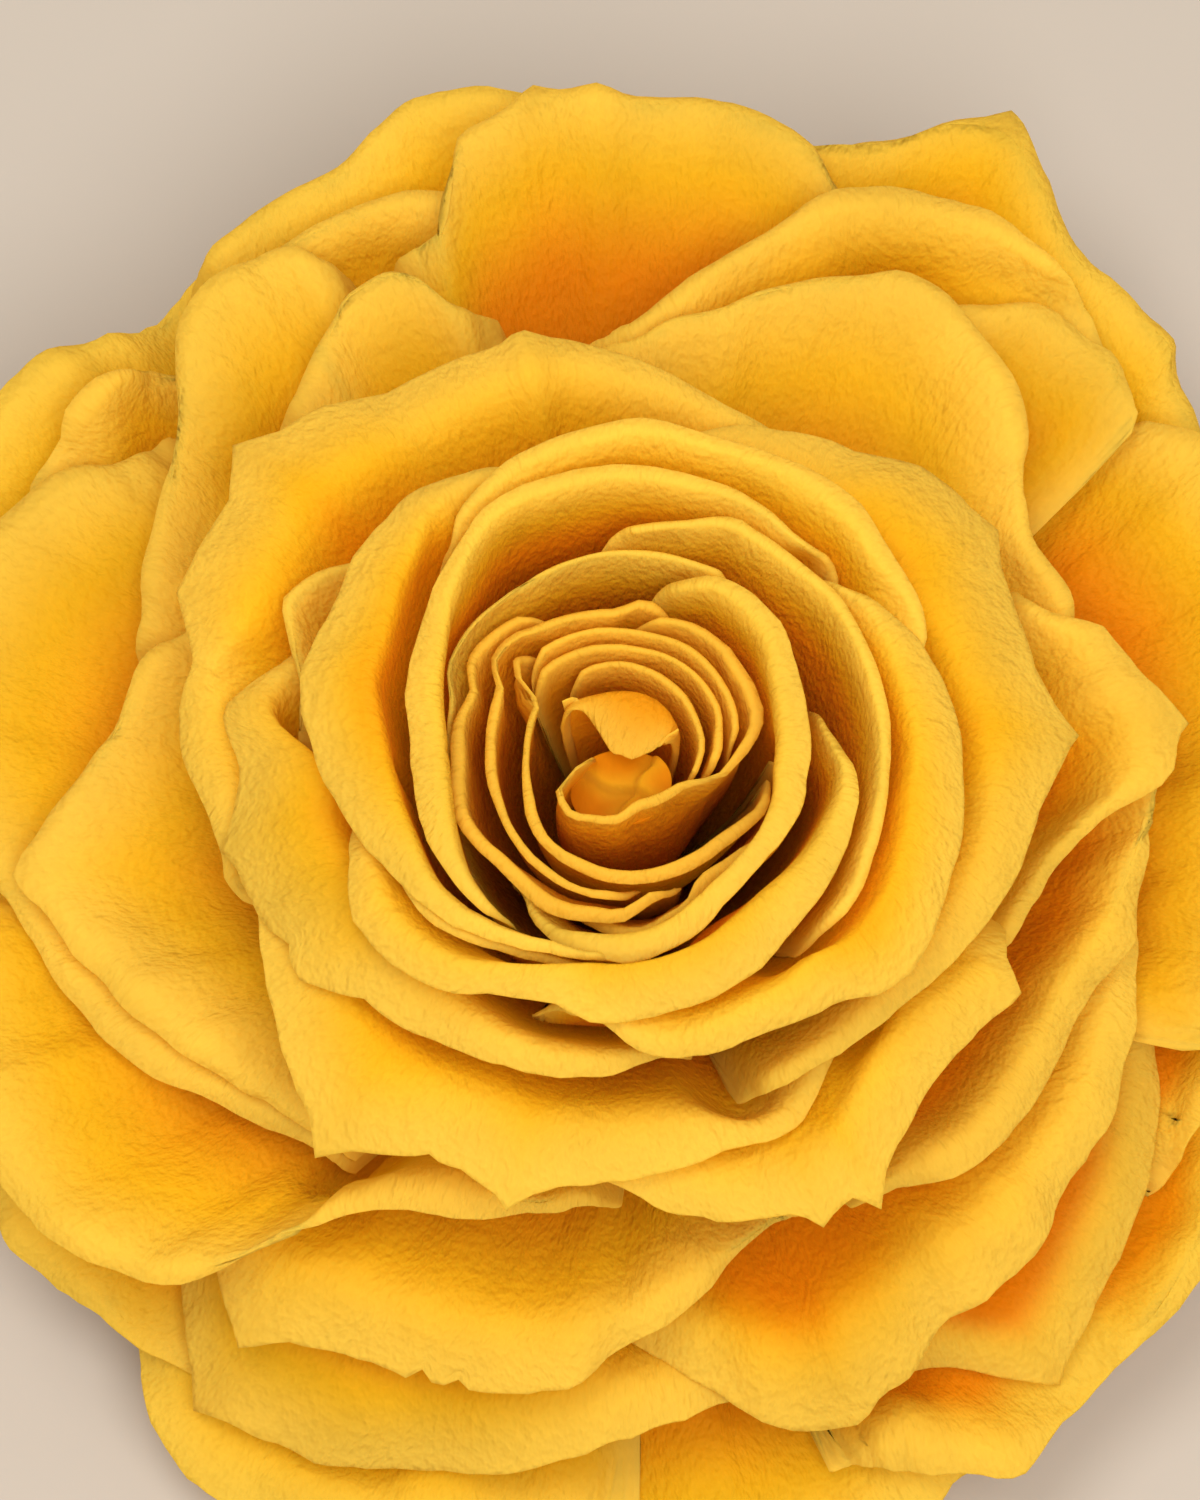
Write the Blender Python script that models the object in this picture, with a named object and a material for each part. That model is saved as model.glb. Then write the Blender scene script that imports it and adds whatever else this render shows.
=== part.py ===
"""A preserved yellow rose head, cut with a short stub and standing face up. Metres, +Z up.

The numbers below are in mm about the bloom axis, which is upright. SHIFT then moves it all, so that the origin is at the
base under the middle of the head. Every petal is a sheet that leaves the receptacle dome and climbs to a crest, then may turn over into a lip. Positions are
given round a point O inside the receptacle: azimuth (degrees from +X), distance rho from O and slope angle psi above
level. The petals are listed from the heart outwards, and each one is laid just under those already placed."""

import math

import bpy
import numpy as np

MM = 0.001
O_Z = 12.0  # height of O in mm, the middle of the receptacle dome
DOME = 6.7  # radius of the dome in mm
BASE_RHO = 7.35  # where a petal starts, just off the dome
THICK_BASE, THICK_RIM = 0.32, 0.42  # petal thickness in mm
SHIFT = (0.431, -3.875, 0.0)  # mm from the bloom axis to the origin, which lies under the middle of the whole head
CLEAR = (0.63, 0.79, 0.86, 1.35)  # mm between the middles of two petals, at CLEAR_RHO from O
CLEAR_RHO = (9, 21, 37, 45)
LEAST_LIP = 0.8  # mm: a shorter lip isn't turned over
STEP_AZ, STEP_RHO, MAX_RHO = 2.0, 0.5, 70.0  # the solver's grid

# name, arch in degrees (above zero the sheet climbs early, below zero it bellies out), then along the crest:
# azimuth, radius, height, how far the lip reaches out, how far it drops
PETALS = [
    ("heart_petal_1", -1.0, [(16, 3.4, 45.5, -1.4, 0.7), (50, 3.5, 46.3, -1.7, 0.9), (90, 3.6, 46.5, -1.9, 1), (120, 3.9, 46.5, -2, 1), (148, 4.8, 46, -1.2, 0.6)]),
    ("heart_petal_2", -1.4, [(-20, 4.3, 45.5, 0.2, 0.1), (5, 4.5, 46, 0.2, 0.1), (22, 4.4, 46.3, 0.2, 0.1), (49, 4.5, 46.5, 0.2, 0.1), (79, 4.9, 46.5, 0.2, 0.1), (94, 5.3, 46.2, 0.2, 0.1), (118, 5.6, 45.5, 0.2, 0.1)]),
    ("heart_petal_3", -1.8, [(-8, 5, 46, 0.2, 0.1), (11, 5.7, 46, 0.2, 0.1), (23, 6, 46.3, 0.2, 0.1), (48, 6.1, 46.5, 0.2, 0.1), (69, 6.2, 46.5, 0.2, 0.1), (93, 6.2, 46.5, 0.2, 0.1), (115, 6.7, 46.3, 0.2, 0.1), (135, 7, 45.8, 0.2, 0.1)]),
    ("heart_petal_4", -2.1, [(10, 6.5, 46, 0.2, 0.1), (36, 6.8, 46.5, 0.2, 0.1), (58, 7.1, 46.8, 0.2, 0.1), (83, 7.1, 46.8, 0.2, 0.1), (103, 7.3, 46.8, 0.2, 0.1), (128, 7.6, 46.3, 0.2, 0.1)]),
    ("heart_petal_5", -2.4, [(196, 2.2, 45, 0.2, 0.1), (205, 3.5, 45.8, 0.3, 0.1), (214, 5, 46, 0.3, 0.1), (231, 5.6, 46.2, 0.3, 0.1), (244, 5.2, 46.3, 0.3, 0.1), (262, 4.7, 46.3, 0.4, 0.2), (281, 3.8, 46.3, 0.4, 0.2), (311, 3.9, 46.3, 0.4, 0.2), (335, 4.5, 46.3, 0.4, 0.2), (350, 5.2, 46.4, 0.4, 0.2), (364, 6, 46.5, 0.5, 0.2), (376, 7.1, 46.6, 0.5, 0.2), (386, 7.9, 46.8, 0.5, 0.2), (403, 8.4, 47, 0.5, 0.2), (422, 8.5, 47, 0.4, 0.2), (435, 8.3, 46.8, 0.3, 0.1)]),
    ("heart_petal_6", -2.8, [(140, 5.2, 46.3, 0.3, 0.1), (156, 6, 46.3, 0.3, 0.1), (178, 6.1, 46.2, 0.3, 0.1), (200, 6.4, 46, 0.3, 0.1), (221, 7.3, 46, 0.4, 0.2), (235, 7.8, 46, 0.5, 0.3), (247, 7.9, 46, 0.6, 0.4), (267, 8.1, 46, 0.7, 0.4), (281, 8.1, 46, 0.7, 0.4), (297, 8.1, 46, 0.7, 0.4), (311, 8.2, 46, 0.6, 0.3), (324, 8.6, 46, 0.5, 0.2), (338, 9.2, 45.8, 0.3, 0.1)]),
    ("heart_petal_7", -2.8, [(80, 7.6, 46.8, 0.3, 0.1), (95, 7.8, 47, 0.3, 0.1), (114, 8, 47, 0.4, 0.2), (132, 8.1, 47, 0.4, 0.2), (150, 8.3, 47, 0.4, 0.2), (178, 8.3, 46.8, 0.4, 0.2), (192, 8.4, 46.8, 0.4, 0.2), (208, 8.6, 46.6, 0.4, 0.2), (221, 9, 46.5, 0.4, 0.2), (232, 9.2, 46.3, 0.4, 0.2), (244, 9.3, 46.2, 0.4, 0.2), (262, 9, 46, 0.3, 0.1)]),
    ("heart_petal_8", -2.8, [(128, 8.7, 46.5, 0.3, 0.1), (147, 9.2, 46.5, 0.4, 0.2), (159, 9.8, 46.5, 0.4, 0.2), (172, 10.3, 46.5, 0.5, 0.2), (184, 10.3, 46.5, 0.5, 0.2), (195, 10.6, 46.6, 0.5, 0.2), (205, 11, 46.6, 0.5, 0.3), (215, 10.9, 46.6, 0.5, 0.3), (226, 10.5, 46.6, 0.6, 0.3), (245, 9.8, 46.6, 0.7, 0.4), (260, 9.2, 46.8, 0.7, 0.4), (282, 9.2, 46.6, 0.4, 0.2)]),
    ("heart_petal_9", -2.4, [(274, 9.8, 46.2, 0.4, 0.2), (291, 9.7, 46.4, 0.6, 0.3), (300, 9.7, 46.5, 0.7, 0.4), (313, 9.8, 46.5, 0.6, 0.3), (333, 9.5, 46, 0.4, 0.2), (347, 9.2, 45.4, 0.3, 0.1)]),
    ("bowl_petal_1", -2.8, [(256, 12.6, 47.5, 0.9, 0.3), (269, 12.6, 48, 1.4, 0.6), (279, 12.3, 48.3, 1.3, 0.6), (291, 11.6, 48.8, 1.3, 0.6), (306, 11.2, 49.3, 1, 0.5), (318, 11, 49.6, 1.1, 0.5), (333, 10.6, 50, 1.5, 0.6), (347, 9.9, 50, 1.7, 0.7), (370, 9.8, 50, 1.5, 0.6), (385, 10.2, 50, 1.4, 0.5), (396, 10.7, 50, 1.3, 0.5), (411, 11, 50, 0.9, 0.4), (420, 10.8, 49.6, 0.8, 0.4), (430, 10.4, 48.5, 0.5, 0.3)]),
    ("bowl_petal_2", -2.4, [(62, 12.2, 48.5, 0.4, 0.2), (90, 12, 49, 0.4, 0.2), (120, 11.6, 49, 0.4, 0.2), (150, 10.8, 49, 0.4, 0.2), (180, 10.5, 49, 0.4, 0.2), (205, 11.4, 48.8, 0.5, 0.2), (220, 12.3, 48.6, 0.5, 0.3), (238, 14.2, 48.3, 0.5, 0.3), (250, 14.5, 48, 0.4, 0.2)]),
    ("bowl_petal_3", -2.1, [(212, 15.8, 49, 0.7, 0.3), (224, 16, 49.2, 0.8, 0.4), (231, 15.9, 49.2, 0.7, 0.3), (240, 15.2, 49, 0.6, 0.3), (252, 14.6, 49, 0.5, 0.3), (262, 14.7, 48.8, 0.5, 0.3), (270, 14.9, 48.3, 0.4, 0.2)]),
    ("bowl_petal_4", -1.8, [(215, 16.7, 48.5, 1.2, 0.6), (230, 17.6, 48.8, 1.2, 0.8), (243, 16.9, 49.2, 1.4, 1.1), (256, 15.9, 49.5, 2, 1.3), (263, 15.5, 49.7, 2.8, 1.6), (273, 14.9, 49.8, 2.6, 1.5), (288, 14.7, 50, 2.8, 1.5), (299, 14.4, 50, 2.8, 1.3), (306, 14.4, 50, 2.3, 1.1), (319, 14.4, 50, 1.8, 0.8), (328, 14.2, 50, 1.7, 0.8), (342, 14, 49.8, 1.3, 0.6), (349, 13.6, 49.6, 1, 0.5), (356, 13, 49.2, 0.8, 0.4), (364, 12.6, 48.6, 0.5, 0.3)]),
    ("bowl_petal_5", -1.4, [(320, 17.2, 48.5, 0.8, 0.4), (332, 16.6, 49, 0.7, 0.3), (346, 16, 49.5, 0.7, 0.3), (364, 15.6, 50, 0.8, 0.4), (381, 15.3, 50, 0.8, 0.4), (392, 15.2, 50, 0.8, 0.4), (408, 14.6, 50, 0.8, 0.4), (418, 14.6, 50, 0.8, 0.4), (422, 14.8, 50, 0.8, 0.4), (434, 13.9, 49.6, 0.5, 0.3), (447, 12.9, 49, 0.3, 0.2)]),
    ("bowl_petal_6", -1.0, [(262, 16.6, 46.5, 1, 0.6), (270, 17, 47.5, 1.5, 1), (284, 18, 48.5, 2, 1.4), (295, 18.2, 49, 2.3, 1.6), (302, 18.7, 49.3, 2.6, 1.8), (311, 18.1, 49.6, 3.5, 2.2), (320, 18, 49.8, 4.2, 2.6), (329, 18, 50, 3.8, 2.4), (338, 18, 50, 3.8, 2.3), (347, 17.8, 50, 3.8, 2.2), (355, 17.8, 50, 3.3, 2), (365, 17.4, 50, 3.2, 1.9), (379, 17, 50, 2.4, 1.4), (389, 16.7, 49.6, 1.2, 0.8), (395, 16.1, 49, 0.5, 0.3)]),
    ("bowl_petal_7", -1.0, [(48, 16, 49.6, 0.6, 0.3), (65, 16, 50.4, 0.9, 0.4), (83, 16, 51, 1.2, 0.5), (90, 16, 51, 1.2, 0.5), (106, 15.8, 51, 1.3, 0.5), (115, 15.9, 51, 1.3, 0.5), (122, 15.6, 51, 1.4, 0.6), (131, 14.6, 51, 1.5, 0.6), (140, 13.7, 50.8, 1.8, 0.8), (156, 12.2, 50.6, 2.2, 1), (170, 11.6, 50.4, 2.3, 1.1), (184, 11.3, 50.2, 2.2, 1), (198, 11.6, 50, 1.5, 0.7), (208, 12.2, 49.4, 0.6, 0.3)]),
    ("bowl_petal_8", -0.7, [(20, 18, 48.5, 0.6, 0.3), (30, 18.6, 49.4, 1, 0.5), (36, 18.9, 50, 1.5, 0.8), (45, 19.3, 50.4, 1.7, 0.9), (58, 19.2, 50.8, 1.5, 0.8), (73, 18.8, 51, 1.4, 0.7), (87, 19, 51, 1.3, 0.6), (95, 18.6, 51, 1.3, 0.6), (102, 18, 51, 1.3, 0.6), (110, 17.3, 50.8, 1.2, 0.5), (118, 16.8, 50.5, 1, 0.5), (124, 16.6, 50, 0.6, 0.3)]),
    ("bowl_petal_9", -0.7, [(111, 17.6, 49, 0.6, 0.4), (118, 17.7, 49.4, 1.3, 0.8), (126, 17.8, 49.8, 1.8, 1), (133, 18.2, 50, 2.4, 1.3), (139, 18.4, 50, 2.6, 1.4), (145, 18.3, 50, 2.7, 1.5), (152, 17.8, 50, 2.7, 1.5), (160, 17.7, 50, 2.9, 1.6), (166, 17.9, 50, 3, 1.6), (175, 17.5, 50, 2.9, 1.6), (184, 16.8, 50, 2.6, 1.4), (195, 15.9, 50, 2.2, 1.2), (205, 15.4, 50, 1.8, 1), (213, 15.4, 49.4, 1, 0.6)]),
    ("open_petal_1", 1.2, [(140, 21.2, 42.5, 0.6, 0.4), (147, 22.8, 43, 0.8, 0.5), (153, 23.6, 43.2, 1, 0.6), (159, 22.3, 43, 0.8, 0.5), (166, 21, 42.5, 0.5, 0.4)]),
    ("open_petal_2", 2.4, [(162, 20.6, 42.5, 1, 0.7), (169, 20.8, 43.5, 3.7, 2.6), (177, 19.3, 44, 5.3, 3.6), (185, 18.6, 44.5, 6.6, 4.5), (190, 18.3, 44.5, 7.4, 5), (194, 18.1, 44.5, 6.9, 4.6), (201, 17.6, 44.5, 6.8, 4.6), (214, 18.3, 44.5, 6.2, 4.2), (223, 18.6, 44.3, 3.9, 2.8), (231, 18.8, 44.2, 3.6, 2.6), (241, 19, 44, 2.9, 2), (255, 19.3, 43.6, 2.1, 1.4), (266, 19, 43, 1.8, 1.2), (276, 18.4, 42, 0.8, 0.6)]),
    ("open_petal_3", 3.0, [(297, 21.6, 40, 1, 0.8), (308, 21.8, 41.5, 1.2, 0.9), (317, 21.9, 42.5, 1.5, 1.1), (323, 22, 43, 2, 1.4), (331, 22.2, 43.5, 2.5, 1.8), (342, 22.4, 44, 3.5, 2.3), (354, 22.6, 44, 4, 2.6), (362, 22.4, 44, 5.9, 3.6), (366, 22.2, 44, 6.9, 4.2), (370, 22.1, 44, 6, 3.6), (375, 22, 44, 5.3, 3.2), (383, 21.6, 44, 5.7, 3.5), (390, 21.2, 44.2, 6.7, 4), (395, 21.4, 44.4, 7.6, 4.4), (399, 21.8, 44.5, 6.8, 4), (404, 22, 44.6, 6.3, 3.8), (407, 22.2, 44.6, 5.9, 3.6), (415, 22.2, 44.6, 3.8, 2.4), (424, 22.2, 44.4, 2.8, 1.8), (432, 22.2, 44, 1.8, 1.2), (437, 22, 43.5, 0.8, 0.6)]),
    ("open_petal_4", 3.6, [(194, 22.4, 38.5, 2, 1), (204, 22.6, 39.2, 3, 1.4), (214, 23, 39.8, 4, 1.8), (224, 23.2, 40, 5.7, 2.8), (230.5, 23.2, 40, 6.8, 3.4), (234, 23.2, 40, 6.1, 3), (240, 23, 40, 5.1, 2.4), (248, 22.8, 40, 4.6, 2.2), (255, 22.8, 40, 5.2, 2.6), (261, 22.6, 40, 4.3, 2.1), (267, 22.4, 39.9, 4, 1.9), (273, 22.2, 39.8, 3.8, 1.8), (281, 22.2, 39.5, 3.3, 1.6), (289, 22.4, 39, 2.6, 1.2), (299, 22.8, 38.5, 1.6, 0.8)]),
    ("open_petal_5", 4.2, [(266, 23.6, 37, 2, 1.2), (280, 24, 38.6, 3.2, 1.8), (286, 23.8, 39.2, 4.8, 2.6), (293.5, 23.2, 40, 7.4, 4.2), (298, 23.2, 40.3, 7, 4.2), (300.6, 23.2, 40.4, 7.6, 4.6), (303, 23.2, 40.4, 6.4, 4), (306, 23.4, 40.4, 5.4, 3.4), (313, 23.6, 40.4, 4.4, 2.8), (321, 24.2, 40.4, 3.6, 2.4), (326.5, 24.8, 40, 3.4, 2.4), (331, 25.2, 39.5, 3.4, 2.4), (334, 24.8, 38.5, 2, 1.2)]),
    ("open_petal_6", 4.8, [(66, 24.4, 41, 0.8, 0.6), (74, 24.4, 42, 1.4, 0.9), (80, 24.8, 42.6, 1.8, 1.2), (87, 25.4, 43, 2.5, 1.6), (93, 26, 43.4, 2.9, 1.8), (101, 26.6, 43.6, 3.5, 2.2), (110, 26.4, 43.6, 3.6, 2.2), (121, 26.2, 43.6, 3.8, 2.3), (128, 26.4, 43.6, 5.2, 3), (134, 26.6, 43.6, 5.6, 3.2), (138, 26.8, 43.6, 6.7, 3.8), (141, 26.8, 43.6, 5.8, 3.4), (144, 26.6, 43.4, 5, 3), (149.5, 26.2, 43.2, 5.2, 3.1), (156, 25.6, 43, 5.6, 3.4), (161, 25, 42.6, 5, 3.1), (165, 24.6, 42.4, 3.9, 2.4), (171, 23.4, 42, 3.2, 2.1), (182, 23.2, 41, 2.4, 1.7), (190, 23.2, 40, 1.4, 1)]),
    ("wide_petal_1", 6.0, [(153, 30.6, 30, 1, 0.8), (161, 32.6, 30.4, 1, 0.8), (170, 34, 30.4, 1, 0.8), (176, 35.4, 30, 1.1, 0.9), (181, 37, 29.4, 1.2, 1), (184, 38, 29, 1.3, 1), (190, 36.4, 28.6, 1.2, 1), (198, 33.6, 28.4, 1.2, 1), (206, 31.2, 28.2, 1.2, 1), (215, 29.4, 28, 1.2, 1), (225, 27.6, 27.6, 1, 0.8)]),
    ("wide_petal_2", 6.0, [(343, 25.4, 33, 1, 0.8), (352, 27, 33, 1.2, 1), (359, 29.6, 33, 1.6, 1.2), (365, 33, 33, 3, 1.6), (370, 33.2, 33.4, 3.5, 1.8), (374.6, 32.4, 33.6, 2.6, 1.6), (381.6, 31.4, 33.8, 2.6, 1.5), (387, 29.6, 33.6, 0.9, 0.6)]),
    ("wide_petal_3", 6.0, [(21, 30.8, 30, 0.8, 0.6), (28, 32.2, 31.4, 0.8, 0.6), (34, 31.9, 32.4, 0.8, 0.6), (40, 33.7, 33, 0.9, 0.7), (45, 36.1, 33.4, 1, 0.8), (50, 38.1, 33.8, 1.1, 0.8), (55, 39.5, 34, 1.2, 0.9), (60, 40.5, 34.2, 1.3, 1), (64, 40.1, 34.4, 1.3, 1), (71, 37.9, 34.6, 1.2, 0.9), (75, 36.7, 34.6, 1.1, 0.8), (79, 34.7, 34.4, 1, 0.8), (83, 34, 34, 0.9, 0.7), (90, 32, 33, 0.8, 0.6)]),
    ("wide_petal_4", 6.0, [(104, 37.6, 31.5, 0.8, 0.6), (107, 39.4, 32, 0.9, 0.7), (110, 41, 32.4, 1, 0.8), (113, 41.8, 32.6, 1.1, 0.8), (117, 40.6, 32.4, 1, 0.8), (122, 37.6, 31.8, 0.9, 0.7), (127, 35.6, 31, 0.8, 0.6)]),
    ("wide_petal_5", 6.0, [(117, 44.2, 29, 1, 0.8), (121, 46, 29.6, 1.3, 1), (126, 46, 30, 1.4, 1), (130, 44.6, 30, 1.3, 1), (134, 42.4, 30, 1.2, 0.9), (138, 40, 30, 1.1, 0.8), (144, 37.4, 29.8, 1, 0.8), (149, 35.8, 29.4, 0.9, 0.7), (155, 34.4, 28.6, 0.8, 0.6)]),
    ("wide_petal_6", 6.0, [(141, 42.6, 25.4, 1, 0.8), (148, 45, 26, 1.5, 1.2), (157, 46.8, 26.4, 1.8, 1.4), (166, 47, 26.4, 1.8, 1.4), (175, 44.8, 26.2, 1.6, 1.3), (185, 39.8, 26, 1.4, 1.2), (191, 38.2, 26, 1.4, 1.2), (198, 36, 26, 1.4, 1.2), (206, 33.4, 26, 1.4, 1.2), (215, 30.2, 25.8, 1.3, 1.1), (225, 28, 25.5, 1, 0.8)]),
    ("wide_petal_7", 6.0, [(204, 45, 25.5, 2.2, 2), (212, 45, 25.5, 2, 1.8), (221, 42.4, 25.5, 1.6, 1.4), (227, 39, 26, 1.4, 1.2), (231, 34, 27.5, 1.2, 1), (234, 31, 28.5, 1.2, 1), (239, 28.2, 30, 1.6, 1.2), (244, 26.8, 30.6, 2, 1.6), (251, 26, 30.6, 2, 1.6), (258, 25.4, 30, 1.6, 1.2), (264, 24.6, 29, 0.8, 0.6)]),
    ("wide_petal_8", 6.6, [(306, 27.5, 29, 2.2, 2), (319, 27.6, 30, 4.4, 3.6), (326, 27.4, 30.5, 4.8, 4), (332, 27.2, 31, 5, 4.1), (340, 27.4, 31, 5.2, 4.2), (348, 28.4, 31, 6, 4.4), (352, 29.4, 31, 5.2, 3.6), (358, 31.4, 31, 3.4, 2.4), (365, 34, 31, 1, 0.8)]),
    ("wide_petal_9", 7.2, [(222, 34, 22, 3, 2.4), (229, 34.6, 23, 5, 3.6), (232, 34.4, 23.4, 5.8, 4), (236, 33.6, 23.6, 5.4, 3.8), (244, 32.6, 24, 5.2, 3.8), (249, 32.2, 24.2, 5.4, 4), (254, 31.8, 24.2, 5.4, 4), (260, 31.4, 24.2, 5.2, 3.8), (264, 31.2, 24, 4.6, 3.4), (268, 30.6, 24, 3.6, 2.8), (272, 29.8, 24, 3, 2.4), (277, 28.8, 24, 2.4, 2), (282, 27.8, 24, 1.8, 1.4), (287, 27, 24, 1.4, 1), (292, 26.4, 23.6, 1, 0.8)]),
    ("wide_petal_10", 7.2, [(272, 29, 18, 3, 2.4), (279, 30, 20, 5, 4), (284, 31, 21.4, 7, 5.4), (289, 31.6, 22, 8.4, 6.4), (292.4, 31.8, 22.4, 8.6, 6.4), (295, 32, 22.6, 7.4, 5.6), (298.5, 32, 23, 7, 5.4), (303.5, 32.2, 23.4, 5.4, 4.4), (310, 32.6, 24, 4.8, 4), (315, 32.8, 24.4, 4.8, 4), (323, 32.8, 25, 4, 3.4), (330.5, 33, 25.4, 3.6, 3), (336, 32.6, 25.6, 3.4, 2.8), (349, 32, 25.4, 2.2, 1.8), (353, 31.6, 25, 1.6, 1.3)]),
    ("guard_petal_1", 7.2, [(38, 43, 28, 1.4, 1), (42, 45.4, 28.6, 1.6, 1.2), (45, 46, 29, 1.7, 1.2), (48, 45.4, 29.2, 1.6, 1.2), (52, 45.2, 29.4, 1.6, 1.2), (58, 42.4, 29.6, 1.2, 0.9)]),
    ("guard_petal_2", 7.2, [(44, 44, 29.5, 1, 0.8), (49, 46.4, 30.5, 1.4, 1), (54, 47.6, 31, 1.6, 1.2), (60, 47.6, 31.6, 1.8, 1.3), (66, 46.6, 32, 1.8, 1.3), (73, 43.8, 32.4, 1.6, 1.2), (76, 41.4, 32.6, 1.4, 1), (80, 38.6, 32.6, 1.2, 0.9), (84, 36, 32.2, 1, 0.8), (90, 33.4, 31.4, 0.8, 0.6)]),
    ("guard_petal_3", 7.2, [(69, 44.8, 29, 0.8, 0.6), (72, 46.6, 29.6, 1, 0.8), (75, 48.4, 30, 1.1, 0.8), (79, 49.6, 30.4, 1.2, 0.9), (82, 50, 30.6, 1.3, 1), (88, 49.8, 30.8, 1.3, 1), (92, 50, 31, 1.3, 1), (96.5, 50.4, 31, 1.3, 1), (100, 49, 31, 1.2, 0.9), (103, 48, 30.8, 1.1, 0.8), (105, 46.2, 30.6, 1, 0.8), (107, 43.4, 30, 0.9, 0.7), (109, 40.6, 29.4, 0.8, 0.6)]),
    ("guard_petal_4", 6.6, [(2, 38, 24, 1, 0.8), (8, 42, 25, 1.4, 1.1), (16, 45, 26, 1.6, 1.2), (25, 46.8, 26.6, 1.8, 1.4), (33, 46.6, 26.4, 1.6, 1.2), (41, 44.6, 25.6, 1.2, 0.9)]),
    ("guard_petal_5", 7.2, [(218, 36, 16, 3, 2.4), (225, 36.4, 16.6, 5, 4), (230.5, 36.6, 17, 7.4, 5.6), (236, 36.6, 17, 7.2, 5.6), (243, 36.4, 17, 7.2, 5.6), (252, 35.8, 17, 6, 4.8), (260, 35, 17, 4.6, 3.8), (268, 33.8, 17, 3.4, 3), (276, 33.6, 17, 3, 2.6), (284, 33.6, 16.6, 2, 1.8)]),
    ("guard_petal_6", 7.2, [(303, 36, 15, 3, 2.6), (311, 38, 16.5, 5.6, 4.4), (320, 37.4, 17.5, 4.6, 3.8), (329, 36.6, 18.4, 4, 3.4), (338, 35.6, 19, 3, 2.6), (343, 35, 19, 2, 1.6)]),
    ("guard_petal_7", 6.6, [(104, 46, 27.6, 1, 0.8), (109, 47.2, 28, 1.2, 0.9), (113, 47.4, 28.4, 1.3, 1), (117, 47.2, 28.4, 1.2, 0.9), (121, 46.4, 28.2, 1, 0.8), (125, 45, 27.8, 0.8, 0.6)]),
    ("guard_petal_8", 6.6, [(128, 43, 26.5, 1, 0.8), (133, 44.8, 27, 1.2, 0.9), (138, 46.6, 27.4, 1.3, 1), (144, 46, 27, 1.2, 0.9), (150, 44.6, 26.4, 1, 0.8), (155, 42.6, 25.6, 0.8, 0.6)]),
    ("guard_petal_9", 6.6, [(41, 49.6, 24, 1.4, 1.2), (44, 51.2, 25.5, 1.6, 1.3), (49, 50.8, 26, 1.6, 1.3), (54, 51.8, 26.5, 1.7, 1.4), (59, 54.8, 27, 2, 1.6), (62, 56.4, 27.4, 2.4, 1.8), (63.5, 56.8, 27.4, 2.4, 1.8), (66.6, 55.4, 27.4, 2, 1.5), (70, 52.6, 27.4, 1.8, 1.4), (74, 51.4, 27.4, 1.6, 1.2), (78, 50.4, 27, 1.4, 1.1), (82, 49.2, 26.4, 1.2, 1)]),
    ("guard_petal_10", 6.6, [(92, 51.8, 26, 1, 0.8), (97, 52.8, 26.6, 1.2, 0.9), (101.5, 53.8, 27, 1.4, 1), (105, 54, 27, 1.4, 1), (108, 52.8, 26.8, 1.3, 1), (112, 51.4, 26.4, 1.2, 0.9), (118, 50.8, 26, 1.2, 0.9), (124, 49.8, 25.4, 1, 0.8)]),
    ("guard_petal_11", 6.0, [(118, 49.4, 22.2, 1, 0.8), (124, 50, 23.2, 1.2, 1), (131, 49.4, 23.6, 1.3, 1), (137, 51, 23.8, 1.5, 1.2), (143, 51.8, 23.8, 1.6, 1.3), (150, 51.4, 23.6, 1.6, 1.3), (158, 50.2, 23.2, 1.4, 1.2), (166, 48.4, 22.2, 1.2, 1)]),
    ("guard_petal_12", 6.0, [(335, 40.6, 19, 1.6, 1.4), (345, 42.6, 20, 2, 1.6), (355, 44.4, 20.6, 2.2, 1.8), (365, 45.6, 21, 2.2, 1.8), (376, 46.4, 21.4, 2, 1.6), (388, 46, 21, 1.6, 1.3)]),
    ("guard_petal_13", 6.0, [(295, 40.6, 13.6, 2.4, 2), (304, 43.4, 14.4, 3.6, 3), (313, 42.6, 15, 3, 2.6), (322, 44.4, 15.6, 3, 2.6), (333, 44, 16, 2.6, 2.2), (345, 42.4, 16, 2, 1.8)]),
    ("guard_petal_14", 6.0, [(196, 43.4, 16, 2, 1.8), (204, 44.6, 15.6, 2.4, 2), (211, 45, 15, 2.6, 2.2), (220, 43.4, 14.6, 2.4, 2), (229, 42, 14, 2, 1.8), (238, 41, 13.6, 1.6, 1.4)]),
    ("guard_petal_15", 6.0, [(152, 44, 18, 1.4, 1.2), (165, 46, 18.6, 2, 1.6), (178, 46, 18.6, 2.2, 1.8), (191, 44.6, 18, 2, 1.6), (203, 42, 17, 1.4, 1.2)]),
    ("guard_petal_16", 6.0, [(222, 41, 10.5, 3, 2.6), (228, 43, 11, 4.4, 3.6), (233, 43.6, 11, 4.8, 4), (240, 43.4, 11, 4.6, 3.8), (250, 42.4, 11, 4, 3.4), (262, 41, 10.6, 3, 2.6)]),
    ("guard_petal_17", 6.0, [(255, 40, 9.6, 3, 2.6), (266, 41.4, 10, 4, 3.4), (278, 42, 10.4, 4.4, 3.6), (290, 42, 10.8, 4.2, 3.4), (302, 41.4, 11.2, 3.4, 2.8), (310, 40.4, 11, 2.4, 2)]),
    ("guard_petal_18", 6.0, [(56, 47, 18, 1.4, 1.2), (68, 49.6, 19, 1.8, 1.4), (82, 51, 19.4, 2, 1.6), (96, 50.6, 19.2, 1.8, 1.5), (110, 48.6, 18.4, 1.4, 1.2)]),
]

AZ = np.arange(0.0, 360.0, STEP_AZ)
RHO = np.arange(4.0, MAX_RHO, STEP_RHO)


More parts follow.
